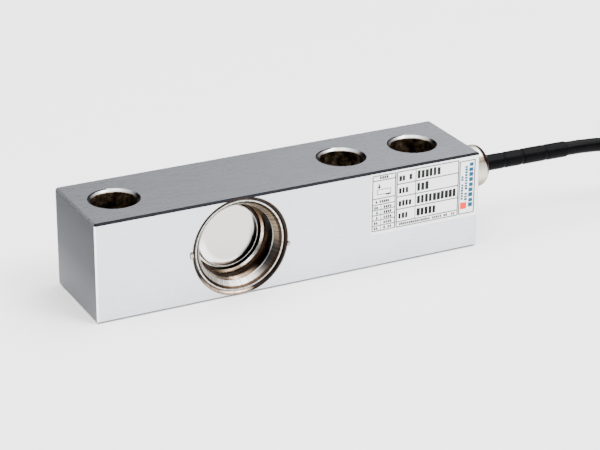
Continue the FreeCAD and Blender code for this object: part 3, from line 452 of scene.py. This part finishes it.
def heat_tinted_weld(colours):
    """A fusion weld in stainless: brown to blue-black oxide over the bead, bright tack spots."""
    material, tree, shader, place = new_material("HeatTintedWeld", Metallic=1.0)
    radius, around = pocket_polar(tree, place)
    band = add_node(tree, "ShaderNodeMapRange", {
        "Value": radius, "From Min": BEAD_INNER - 0.02 * MM, "From Max": BEAD_OUTER + 0.06 * MM})
    band = add_node(tree, "ShaderNodeValToRGB", {0: band}, stops=[
        (0.0, "#0A0807"), (0.3, "#15100D"), (0.5, colours.tint), (0.66, "#3C3129"), (0.8, "#0F0B09"),
        (1.0, "#2E261F")])
    # Low on the seam the oxide is straw coloured.
    low = add_node(tree, "ShaderNodeMapRange", {
        "Value": agreement(tree, around, -112.0), "From Min": 0.78, "From Max": 0.92, "To Max": 0.85})
    # A tack spot is brown where it meets the beam and bright on its crown.
    split = add_node(tree, "ShaderNodeSeparateXYZ", {0: place})
    height = add_node(tree, "ShaderNodeMath", {0: split.outputs[1]}, operation="ABSOLUTE")
    height = add_node(tree, "ShaderNodeMapRange", {
        "Value": height, "From Min": FLANK, "From Max": FLANK + 0.4 * MM})
    tack = add_node(tree, "ShaderNodeValToRGB", {0: height}, stops=[
        (0.0, "#120A06"), (0.5, "#5E3518"), (0.8, "#C9BFB2")])
    outside = add_node(tree, "ShaderNodeMath", {
        0: radius, 1: BEAD_OUTER + 0.04 * MM}, operation="GREATER_THAN")
    noise = add_node(tree, "ShaderNodeTexNoise", {"Vector": place, "Scale": 500.0, "Detail": 4.0})
    patch = add_node(tree, "ShaderNodeMapRange", {
        "Value": noise, "From Min": 0.35, "From Max": 0.7, "To Max": 0.5})
    colour = overlaid(tree, band, [(low, "#C9AE98"), (outside, tack), (patch, "#1C1613")])
    rough = add_node(tree, "ShaderNodeMapRange", {"Value": noise, "To Min": 0.22, "To Max": 0.4})
    feed(shader, {"Base Color": colour, "Roughness": rough})
    return material


def plain_metal(name, colour, low, high, scale):
    """A small turned, stamped or plated part: one metal with fine mottling of its polish."""
    material, tree, shader, place = new_material(name, Metallic=1.0)
    noise = add_node(tree, "ShaderNodeTexNoise", {"Vector": place, "Scale": scale, "Detail": 4.0})
    darker = tuple(0.82 * c for c in to_linear(colour)[:3]) + (1.0,)
    rough = add_node(tree, "ShaderNodeMapRange", {"Value": noise, "To Min": low, "To Max": high})
    feed(shader, {"Base Color": overlaid(tree, colour, [(noise, darker)]), "Roughness": rough})
    return material


def satin_gland_brass(colour):
    """Satin nickel on turned brass: painted reflection bands up its side, and a dark brown shoulder that is
    partly thin plating and partly painted dark reflection.
    """
    material, tree, shader, place = new_material("SatinNickelBrass", Metallic=1.0)
    x, _, z = add_node(tree, "ShaderNodeSeparateXYZ", {0: place}).outputs
    # The dark band of the shoulder runs further down the dome towards the top.
    slant = 0.19
    shoulder = GLAND[0] + slant * GLAND[2]
    reach = add_node(tree, "ShaderNodeMath", {0: z, 1: slant, 2: x}, operation="MULTIPLY_ADD")
    rim_band = add_node(tree, "ShaderNodeMapRange", {
        "Value": reach, "From Min": shoulder + 4.3 * MM, "From Max": shoulder + 4.8 * MM})
    upper = add_node(tree, "ShaderNodeMapRange", {
        "Value": z, "From Min": GLAND[2] - 3.0 * MM, "From Max": GLAND[2] - 0.5 * MM})
    # The flat end inside the shoulder keeps its plating.
    _, radius = off_axis(tree, place, GLAND, (0, 1, 1))
    outer = add_node(tree, "ShaderNodeMapRange", {
        "Value": radius, "From Min": 4.1 * MM, "From Max": 4.6 * MM})
    for mask in (upper, outer):
        rim_band = add_node(tree, "ShaderNodeMath", {0: rim_band, 1: mask}, operation="MULTIPLY")
    # Painted reflections by height: straw grey low down, the plate's own colour in the middle, a dark grey
    # band and then a bright band towards the top.
    height = add_node(tree, "ShaderNodeMapRange", {
        "Value": z, "From Min": GLAND[2] - 6.8 * MM, "From Max": GLAND[2] + 6.8 * MM})
    tone = add_node(tree, "ShaderNodeValToRGB", {0: height}, stops=[
        (0.06, "#5E5545"), (0.26, "#9C917F"), (0.4, colour), (0.68, colour), (0.76, "#5C5447"),
        (0.84, "#5C5447"), (0.9, "#F0ECE4"), (1.0, "#B9B2A6")])
    noise = add_node(tree, "ShaderNodeTexNoise", {"Vector": place, "Scale": 600.0, "Detail": 4.0})
    brown = overlaid(tree, "#0A0606", [(noise, "#361A12")])
    rough = add_node(tree, "ShaderNodeMapRange", {"Value": noise, "To Min": 0.4, "To Max": 0.5})
    feed(shader, {"Base Color": overlaid(tree, tone, [(rim_band, brown)]), "Roughness": rough})
    return material


def plain_polymer(name, colour, low, high, scale, bumpy=0.15, gloss=0.5):
    """A moulded, extruded or cast polymer: even colour, faint mottling and a fine skin texture."""
    material, tree, shader, place = new_material(name, IOR=1.5, Specular_IOR_Level=gloss)
    noise = add_node(tree, "ShaderNodeTexNoise", {"Vector": place, "Scale": scale, "Detail": 4.0})
    lighter = tuple(min(1.0, 1.25 * c + 0.002) for c in to_linear(colour)[:3]) + (1.0,)
    rough = add_node(tree, "ShaderNodeMapRange", {"Value": noise, "To Min": low, "To Max": high})
    bump = add_node(tree, "ShaderNodeBump", {"Strength": bumpy, "Distance": 0.03 * MM, "Height": noise})
    feed(shader, {
        "Base Color": overlaid(tree, colour, [(noise, lighter)]), "Roughness": rough, "Normal": bump})
    return material


# ---------------------------------------------------------------- operators


class LOADCELL_OT_beam(bpy.types.Operator):
    """Finish the beam in satin nickel plate"""

    bl_idname = "loadcell.beam"
    bl_label = "Beam"

    def execute(self, context):
        dress(["beam"], satin_nickel_plate(context.scene.loadcell_colours))
        return {"FINISHED"}


class LOADCELL_OT_cups(bpy.types.Operator):
    """Turn the two drawn sealing cups with their flare, groove and raised bottom"""

    bl_idname = "loadcell.cups"
    bl_label = "Sealing cups"

    def execute(self, context):
        colours, sizes = context.scene.loadcell_colours, context.scene.loadcell_sizes
        # Corners of the cup's inner face in mm: radius, depth under the beam's side and rounding.
        corners = [
            (14.9, 0.65, 0), (14.25, 0.65, 0.45), (13.4, 1.55, 0.7), (12.3, 3.2, 0.35), (11.72, 8.3, 0.5),
            (11.1, 9.0, 0.15), (11.05, 10.5, 0.3), (10.15, 10.5, 0.25), (10.08, 9.06, 0.3),
            (8.6, 8.9, 6.0), (0.0, 8.88, 0)]
        inside = even(rounded(corners), 0.12)
        along = np.append(0.0, np.cumsum(np.linalg.norm(np.diff(inside, axis=0), axis=1)))
        marks = [float(along[np.linalg.norm(inside - c[:2], axis=1).argmin()]) for c in corners[1:]]
        material = drawn_stainless(colours, marks)
        tangent = np.gradient(inside, axis=0)
        tangent /= np.linalg.norm(tangent, axis=1)[:, None]
        outside = inside + sizes.cup_sheet / MM * np.stack([tangent[:, 1], -tangent[:, 0]], axis=1)
        outside[-1, 0] = 0.0
        profile = np.vstack([inside[::-1], outside]) * MM
        for name, side in SIDES.items():
            points = turned(profile, full_circle(192), side)
            distance = np.broadcast_to(np.append(along[::-1], along)[:, None], points.shape[:2])
            cup = grid_mesh(f"{name}_cup", points, material, attribute=("along", distance))
            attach(cup, "root")
            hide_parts(f"{name}_sealing_cup")
        return {"FINISHED"}


class LOADCELL_OT_welds(bpy.types.Operator):
    """Lay the rippled weld beads round the cups, with two tack spots each"""

    bl_idname = "loadcell.welds"
    bl_label = "Weld beads"

    def execute(self, context):
        sizes = context.scene.loadcell_sizes
        material = heat_tinted_weld(context.scene.loadcell_colours)
        angles = full_circle(1200)
        crest = 15.25 * MM
        ripples = round(2 * math.pi * crest / sizes.bead_ripple)
        across = np.linspace(0, 1, 13)[:, None]
        wobble = 0.03 * MM * np.sin(7 * angles + 1) + 0.02 * MM * np.sin(23 * angles)
        # The crown rises as a half sine across the bead, cut by ripples that trail off at its edges.
        crown = np.sin(math.pi * across) ** 0.7
        ripple = 1 + 0.22 * np.sin(ripples * angles - 3.0 * np.sin(math.pi * across)) * crown
        radius = BEAD_INNER + (BEAD_OUTER - BEAD_INNER + wobble) * across
        base = 0.66 * MM * (1 - across) ** 1.3
        depth = base - sizes.bead_height * crown * ripple
        depth = np.vstack([depth, depth[-1:] + 0.3 * MM, depth[:1] + 0.3 * MM])
        radius = np.vstack([radius, radius[-1:], radius[:1]])
        for name, side in SIDES.items():
            x = POCKET[0] + radius * np.cos(angles) * side
            z = POCKET[2] + radius * np.sin(angles)
            y = side * (BEAM_LOW[1] + depth)
            bead = grid_mesh(f"{name}_bead", np.stack([x, y, z], axis=-1), material, close_rows=True)
            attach(bead, "root")
            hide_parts(f"{name}_weld_bead")
            for label, u, v, half_u, half_v in (
                    ("left", -16.15, 0.1, 0.65, 1.25), ("right", 16.05, -2.1, 0.62, 0.9)):
                # A tack is the upper half of an ellipsoid that is squared a little at its rim.
                turn = full_circle(48)
                rise = np.append(0, np.linspace(0, math.pi / 2, 14))[:, None]
                spread = np.cos(rise) ** 0.8
                spread[0] = 0.0
                x = POCKET[0] + side * (u + half_u * spread * np.cos(turn)) * MM
                z = POCKET[2] + (v + half_v * spread * np.sin(turn)) * MM
                y = side * (BEAM_LOW[1] + (0.1 - 0.55 * np.sin(rise)) * MM) + 0 * turn
                tack = grid_mesh(f"{name}_tack_{label}", np.stack([x, y, z], axis=-1), material)
                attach(tack, "root")
        return {"FINISHED"}


class LOADCELL_OT_gauges(bpy.types.Operator):
    """Finish the sealed strain gauges, their boards and their wiring"""

    bl_idname = "loadcell.gauges"
    bl_label = "Gauges and wiring"

    def execute(self, context):
        film = plain_polymer("PolyimideFilm", "#C98A2B", 0.25, 0.4, 900.0)
        foil = plain_metal("ConstantanFoil", "#C9AE8A", 0.2, 0.35, 2500.0)
        laminate = plain_polymer("GlassEpoxyLaminate", "#2F6B3A", 0.3, 0.5, 1800.0)
        enamel = plain_metal("EnamelledCopper", "#B8693E", 0.25, 0.4, 2000.0)
        chip = plain_polymer("GlazedChipCeramic", "#17181A", 0.2, 0.4, 1500.0)
        for side in SIDES:
            dress([f"{side}_gauge_backing"], film)
            dress([f"{side}_gauge_foil"], foil)
            dress([f"{side}_terminal_strip"], laminate)
            dress([f"{side}_jumper_wires"], enamel)
        dress(["compensation_board"], laminate)
        dress(["trim_resistors"], chip)
        return {"FINISHED"}


class LOADCELL_OT_gland(bpy.types.Operator):
    """Finish the gland and what it holds"""

    bl_idname = "loadcell.gland"
    bl_label = "Gland"

    def execute(self, context):
        dress(["gland_body"], satin_gland_brass(context.scene.loadcell_colours.gland))
        dress(["gland_o_ring", "cable_seal"], plain_polymer("MouldedNitrile", "#17171A", 0.5, 0.65, 1500.0))
        dress(["clamp_washer"], plain_metal("ZincPlatedSteel", "#B9BCC0", 0.25, 0.4, 1500.0))
        dress(["shield_ferrule"], plain_metal("DrawnBrass", "#C2A562", 0.2, 0.35, 1500.0))
        return {"FINISHED"}


def eased(share):
    """A smooth step: 0 up to 0, 1 from 1 on, and 3 s^2 - 2 s^3 in between."""
    share = np.clip(share, 0, 1)
    return share * share * (3 - 2 * share)


def coil_points():
    """Control points of the wound lead, counter-clockwise from the side next to the beam.

    Four columns a lead's width apart are wound inwards, then outwards, layer on layer. Each turn
    keeps its radius and level until it eases over to the next place near its end. The last turn
    climbs out of the inner column and ends on top of the coil.
    """
    outermost, bottom, pitch, rise, wide, layers = 29.9, 2.9, 4.66, 4.6, 4, 5
    columns = outermost - pitch * np.arange(wide)
    ways = [columns if i % 2 == 0 else columns[::-1] for i in range(layers)]
    radii = np.concatenate([*ways, columns[-1:]])
    levels = np.append(np.repeat(bottom + rise * np.arange(layers), wide), TAIL_LEVEL)
    steps, turns = 24, wide * layers
    travelled = np.arange(1, turns * steps) * (360.0 / steps)
    turn = (travelled // 360).astype(int)
    # The easing over takes 42 degrees, and the last turn starts it early.
    start = np.where(turn == turns - 1, 275.0, 316.0)
    ease = eased((travelled % 360 - start) / 42.0)
    radius = radii[turn] + (radii[turn + 1] - radii[turn]) * ease
    level = levels[turn] + (levels[turn + 1] - levels[turn]) * ease
    tail = np.arange(0, 97.0, 12.0)
    ease = eased((tail + 15) / 65.0)
    radius = np.concatenate([radius, columns[-1] + (TAIL_RADIUS - columns[-1]) * ease])
    level = np.concatenate([level, np.full(len(tail), TAIL_LEVEL)])
    angle = np.radians(np.concatenate([travelled, 360.0 * turns + tail]) - 90.0)
    # A smooth spline of order 3 runs a little inside its control points, so they stand further out.
    outer = radius / (0.75 + 0.25 * math.cos(math.radians(360.0 / steps)))
    angle, outer = np.append(angle, np.radians(TAIL_TURN)), np.append(outer, TAIL_RADIUS)
    level = np.append(level, TAIL_LEVEL)
    return np.stack([COIL_X + outer * np.cos(angle), COIL_Y + outer * np.sin(angle), level], axis=1) * MM


def spline_piece(name, points, radius, material, resolution):
    """A round lead on one open NURBS spline of order 3 that starts and ends at its end points."""
    curve = bpy.data.curves.new(name, "CURVE")
    curve.dimensions = "3D"
    spline = curve.splines.new("NURBS")
    spline.points.add(len(points) - 1)
    spline.points.foreach_set("co", np.hstack([points, np.ones((len(points), 1))]).ravel())
    spline.order_u = 3
    spline.use_endpoint_u = True
    spline.resolution_u = resolution
    curve.bevel_depth = radius
    curve.bevel_resolution = 6
    curve.use_fill_caps = True
    curve.materials.append(material)
    return placed(name, curve)


def lead_points():
    """The hand-laid line of the lead from inside the gland to the start of its coil."""
    return np.array([
        (24.6, -7.0, 23.6), (56.4, -7.0, 23.6), (86.4, -7.0, 22.8),
        (108.4, -9.76, 13.7), (125.4, -13.9, 2.9), (142.5, -13.9, 2.9), (160.0, -13.9, 2.9)]) * MM


class LOADCELL_OT_lead(bpy.types.Operator):
    """Lay the lead, its sleeve, its wound coil and its five bare cores"""

    bl_idname = "loadcell.lead"
    bl_label = "Lead"

    def execute(self, context):
        sizes, colours = context.scene.loadcell_sizes, context.scene.loadcell_colours
        jacket = plain_polymer("PolyurethaneJacket", colours.jacket, 0.2, 0.28, 700.0, gloss=0.03)
        route = np.vstack([lead_points(), coil_points()])
        lead = spline_piece("lead", route, sizes.lead_diameter / 2, jacket, 4)
        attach(lead, "root")
        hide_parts("cable", "cable_coil")
        sleeve = self.sleeve(sizes)
        cores = self.cores(sizes)
        dress(["coil_ties"], plain_polymer("BlackNylon", "#070708", 0.35, 0.5, 900.0, gloss=0.12))
        dress(["end_band"], sleeve.data.materials[0])
        dress(["end_tips"], plain_metal("TinnedCopper", "#B9B6AE", 0.25, 0.4, 2500.0))
        for colour in ("red", "white", "green", "blue"):
            dress([f"inner_core_{colour}"], bpy.data.materials[f"CoreInsulation_{colour}"])
        dress(["web_wires"], bpy.data.materials["CoreInsulation_white"])
        return {"FINISHED"}

    def sleeve(self, sizes):
        """The shrink sleeve: a tube on the lead's own line with a few shrunk-in creases."""
        rubbery = plain_polymer("ShrunkPolyolefin", "#020203", 0.34, 0.46, 900.0, 0.25, gloss=0.03)
        line = self.lead_line()
        line = even(line[(line[:, 0] > 30.0 * MM) & (line[:, 0] < 66.5 * MM)], 0.15 * MM)
        x = line[:, 0] / MM
        radius = np.full(len(line), sizes.sleeve_diameter / 2)
        for crease, depth in ((42.4, 0.16), (49.2, 0.24), (58.2, 0.14)):
            radius -= depth * MM * np.exp(-((x - crease) / 0.4) ** 2)
        radius -= 0.12 * MM * np.clip((x - 65.7) / 0.8, 0, 1) ** 2
        outer = carried(line, radius, 48)
        # The tube's two ends are joined by a straight bore that lies just inside the lead.
        bore = [line[i] + (outer[i] - line[i]) * 0.86 for i in (-1, 0)]
        sleeve = grid_mesh("sleeve", np.concatenate([outer, bore]), rubbery, close_rows=True)
        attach(sleeve, "root")
        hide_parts("cable_sleeve")
        return sleeve

    def lead_line(self):
        """The points that the lead's spline runs through before its coil."""
        thin = spline_piece("line", lead_points(), 0.0, None, 40)
        mesh = bpy.data.meshes.new_from_object(thin)
        line = np.zeros(len(mesh.vertices) * 3)
        mesh.vertices.foreach_get("co", line)
        bpy.data.meshes.remove(mesh)
        bpy.data.objects.remove(thin)
        return line.reshape(-1, 3)

    def cores(self, sizes):
        """Five insulated cores that leave the band in a bunch and fan out on top of the coil."""
        bunches = np.radians([162.0, 234.0, 90.0, 306.0, 18.0])
        fan = np.array([(0.005, 0.0), (0.2, 0.0), (0.42, 0.5), (0.66, 1.0), (0.83, 1.0), (1.0, 1.0)])
        ring, made = 1.248, []
        for i, (colour, code) in enumerate(CORES.items()):
            material = plain_polymer(f"CoreInsulation_{colour}", code, 0.3, 0.42, 1500.0)
            angle = np.radians(TAIL_TURN + fan[:, 0] * 72.0)
            spread = fan[:, 1]
            radius = TAIL_RADIUS + (1 - spread) * ring * math.cos(bunches[i]) + spread * (i - 2) * 2.1
            level = (1 - spread) * (TAIL_LEVEL + ring * math.sin(bunches[i])) + spread * 24.2
            points = np.stack([
                COIL_X + radius * np.cos(angle), COIL_Y + radius * np.sin(angle), level], axis=1) * MM
            core = spline_piece(f"core_{colour}", points, sizes.core_diameter / 2, material, 12)
            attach(core, "root")
            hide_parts(f"end_core_{colour}")
            made.append(core)
        return made


class LOADCELL_OT_label(bpy.types.Operator):
    """Print the label's plain frames, blocks and coloured fields"""

    bl_idname = "loadcell.label"
    bl_label = "Label"

    def execute(self, context):
        colours = context.scene.loadcell_colours
        # White polyester film, printed and laminated: smooth, faintly glossy.
        film = plain_polymer("PrintedPolyesterFilm", colours.label, 0.3, 0.38, 300.0, 0.1)
        dress(["label"], film)
        low, high = (np.array(corner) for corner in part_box("label"))
        fields = np.array(self.frames() + self.blocks())
        printing = self.print_fields(fields, low, high)
        for name, code in (
                ("Black", colours.label_print), ("Teal", colours.label_teal), ("Red", colours.label_red)):
            printing.data.materials.append(plain_polymer(
                f"ScreenPrintedInk{name}", code, 0.45, 0.6, 900.0, gloss=0.15))
        inks = np.repeat(fields[:, 4].astype(np.int32), 6)
        printing.data.polygons.foreach_set("material_index", inks)
        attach(printing, "root")
        return {"FINISHED"}

    def print_fields(self, fields, low, high):
        """Thin raised boxes of ink: each field's corners are its shares of the label's two sides."""
        left, right = (low[0] + fields[:, i] * (high[0] - low[0]) for i in (0, 1))
        bottom, top = (low[2] + fields[:, i] * (high[2] - low[2]) for i in (2, 3))
        back = np.full(len(fields), low[1] + 0.002 * MM)
        face = back - (0.014 + 0.001 * (np.arange(len(fields)) % 5)) * MM
        outline = ((left, bottom), (right, bottom), (right, top), (left, top))
        corners = np.stack([
            np.stack([x, y, z], axis=1) for y in (face, back) for x, z in outline], axis=1)
        sides = np.array([
            (0, 1, 2, 3), (7, 6, 5, 4), (0, 4, 5, 1), (1, 5, 6, 2), (2, 6, 7, 3), (3, 7, 4, 0)])
        quads = (8 * np.arange(len(fields))[:, None, None] + sides).reshape(-1, 4)
        mesh = bpy.data.meshes.new("label_print")
        mesh.from_pydata(corners.reshape(-1, 3).tolist(), [], quads.tolist())
        return placed("label_print", mesh)

    def frames(self):
        """Frame and table lines, each left, right, low and high as shares of the label, then its ink."""
        made = []

        def lines(ups, overs, wide=0.009, tall=0.015):
            left, right, low, high = overs[0], overs[-1], ups[0], ups[-1]
            made.extend((left, right, up - tall / 2, up + tall / 2, BLACK) for up in ups)
            made.extend((over - wide / 2, over + wide / 2, low, high, BLACK) for over in overs)

        lines((0.06, 0.145, 0.235, 0.32, 0.405, 0.49, 0.59, 0.885, 0.965), (0.022, 0.228))
        made.append((0.098, 0.102, 0.06, 0.49, BLACK))
        lines((0.058, 0.143, 0.35, 0.557, 0.765, 0.965), (0.243, 0.812))
        made.append((0.412, 0.418, 0.143, 0.965, BLACK))
        lines((0.062, 0.938), (0.826, 0.966))
        # A bar held at one end, with the load pressing down on the other.
        lines((0.655, 0.735), (0.064, 0.186), 0.006, 0.01)
        made.extend((*field, BLACK) for field in (
            (0.14, 0.186, 0.634, 0.652), (0.0745, 0.0855, 0.775, 0.83), (0.066, 0.094, 0.775, 0.79),
            (0.07, 0.09, 0.762, 0.775), (0.075, 0.085, 0.75, 0.762)))
        return made

    def blocks(self):
        """Rows of plain blocks that stand where a label has its words, with two coloured fields."""
        draw = np.random.default_rng(7)
        made = []

        def row(left, right, low, high, pitch, ink=BLACK, upright=False):
            # Each block is a little shorter and narrower than its cell, by a drawn amount.
            start, end = (low, high) if upright else (left, right)
            for spot in np.arange(start, end - pitch / 2, pitch):
                if draw.random() < 0.12:
                    continue
                size = pitch * draw.uniform(0.66, 0.84)
                trim = draw.uniform(0.0, 0.12)
                if upright:
                    made.append((left + trim * (right - left), right, spot, spot + size, ink))
                else:
                    made.append((spot, spot + size, low, high - trim * (high - low), ink))

        for level, reach in ((0.80, 0.67), (0.595, 0.525), (0.385, 0.795), (0.18, 0.66)):
            row(0.262, 0.398, level + 0.01, level + 0.105, 0.031)
            row(0.43, reach, level, level + 0.135, 0.037)
        row(0.27, 0.785, 0.08, 0.12, 0.018)
        row(0.085, 0.165, 0.905, 0.95, 0.02)
        row(0.05, 0.19, 0.515, 0.56, 0.018)
        for i in range(5):
            level = 0.08 + 0.085 * i
            row(0.038, 0.08, level, level + 0.045, 0.019)
            row(0.125, 0.195, level, level + 0.045, 0.019)
        row(0.84, 0.862, 0.3, 0.7, 0.045, TEAL, True)
        row(0.874, 0.9, 0.28, 0.86, 0.045, TEAL, True)
        row(0.912, 0.952, 0.16, 0.9, 0.085, TEAL, True)
        made.append((0.838, 0.897, 0.14, 0.25, RED))
        return made


class LOADCELL_OT_stage(bpy.types.Operator):
    """Set the pale floor, the soft studio light and the camera"""

    bl_idname = "loadcell.stage"
    bl_label = "Stage"

    def execute(self, context):
        floor_mesh = bpy.data.meshes.new("floor")
        half, level = 6.0, -0.2 * MM
        corners = [(x * half, y * half, level) for x, y in ((-1, -1), (1, -1), (1, 1), (-1, 1))]
        floor_mesh.from_pydata(corners, [], [(0, 1, 2, 3)])
        floor = placed("floor", floor_mesh)
        matt, _, shader, _ = new_material("MattWhiteFloor", Roughness=0.9)
        feed(shader, {"Base Color": (0.9, 0.9, 0.9, 1.0)})
        floor_mesh.materials.append(matt)
        self.sky(context)
        self.light("key", (0.75, -0.95, 1.5), (0.0, -0.1, 0.0), 0.8, 45.0)
        self.light("top", (-0.1, 0.0, 1.4), (0.0, 0.0, 0.0), 1.2, 16.0)
        self.camera(context)
        return {"FINISHED"}

    def sky(self, context):
        """A soft dome: bright overhead, grey and a little blue behind, dark at the viewer's side."""
        world = bpy.data.worlds.new("SoftDome")
        world.use_nodes = True
        tree = world.node_tree
        direction = add_node(tree, "ShaderNodeTexCoord").outputs["Generated"]
        x, y, z = add_node(tree, "ShaderNodeSeparateXYZ", {0: direction}).outputs
        high = (5.6, 5.6, 5.6, 1)
        behind = add_node(tree, "ShaderNodeValToRGB", {0: z}, stops=[
            (0.0, (0.21, 0.212, 0.232, 1)), (0.3, (0.22, 0.223, 0.247, 1)),
            (0.5, (0.31, 0.313, 0.347, 1)), (0.6, (1.1, 1.1, 1.13, 1)), (0.74, high), (1.0, high)])
        before = add_node(tree, "ShaderNodeValToRGB", {0: z}, stops=[
            (0.0, (0.16, 0.16, 0.16, 1)), (0.6, (0.2, 0.2, 0.2, 1)), (0.78, high), (1.0, high)])
        # Behind, the light grows stronger towards the cable end.
        slope = add_node(tree, "ShaderNodeMapRange", {
            "Value": x, "From Min": 0.28, "From Max": 0.52, "To Min": 0.5, "To Max": 1.6})
        behind = add_node(tree, "ShaderNodeVectorMath", {
            0: behind, 3: slope}, operation="SCALE")
        side = add_node(tree, "ShaderNodeMapRange", {
            "Value": y, "From Min": 0.1, "From Max": -0.25})
        tone = add_node(tree, "ShaderNodeMix", {
            0: side, 6: behind, 7: before}, data_type="RGBA")
        feed(tree.nodes["Background"], {"Color": tone, "Strength": 1.0})
        context.scene.world = world

    def light(self, name, place, target, size, power):
        """A square soft light at a place, turned to a target, with its side in m and power in W."""
        lamp = bpy.data.lights.new(name, "AREA")
        lamp.shape = "SQUARE"
        lamp.size = size
        lamp.energy = power
        holder = placed(name, lamp)
        holder.location = place
        holder.rotation_euler = (Vector(target) - Vector(place)).to_track_quat("-Z", "Y").to_euler()

    def camera(self, context):
        """A long lens from above the front left, rolled a third of a degree from level."""
        lens = bpy.data.cameras.new("camera")
        lens.sensor_width = 36.0
        lens.lens = 126.88
        lens.clip_start = 0.01
        lens.clip_end = 30.0
        holder = placed("camera", lens)
        right = Vector((0.891702, -0.452586, 0.005736))
        up = Vector((0.175497, 0.357397, 0.917316))
        back = Vector((-0.417214, -0.816966, 0.398120))
        turn = Matrix((right, up, back)).transposed().to_4x4()
        holder.matrix_world = Matrix.Translation((-0.302785, -0.540236, 0.274604)) @ turn
        context.scene.camera = holder


class LOADCELL_PT_panel(bpy.types.Panel):
    """The load cell's pieces, in the order in which they are made"""

    bl_idname = "LOADCELL_PT_panel"
    bl_label = "Load cell"
    bl_space_type = "VIEW_3D"
    bl_region_type = "UI"
    bl_category = "Load cell"

    def draw(self, context):
        for group in (context.scene.loadcell_sizes, context.scene.loadcell_colours):
            for name in group.__annotations__:
                self.layout.prop(group, name)
        for step in STEPS:
            self.layout.operator(step.bl_idname)


STEPS = (
    LOADCELL_OT_beam, LOADCELL_OT_cups, LOADCELL_OT_welds, LOADCELL_OT_gauges, LOADCELL_OT_gland,
    LOADCELL_OT_lead, LOADCELL_OT_label, LOADCELL_OT_stage,
)
CLASSES = (LoadCellSizes, LoadCellColours, *STEPS, LOADCELL_PT_panel)


def register():
    for kind in CLASSES:
        bpy.utils.register_class(kind)
    bpy.types.Scene.loadcell_sizes = bpy.props.PointerProperty(type=LoadCellSizes)
    bpy.types.Scene.loadcell_colours = bpy.props.PointerProperty(type=LoadCellColours)


def unregister():
    del bpy.types.Scene.loadcell_colours
    del bpy.types.Scene.loadcell_sizes
    for kind in reversed(CLASSES):
        bpy.utils.unregister_class(kind)


def main():
    register()
    for step in STEPS:
        category, name = step.bl_idname.split(".")
        getattr(getattr(bpy.ops, category), name)()


if __name__ == "__main__":
    main()
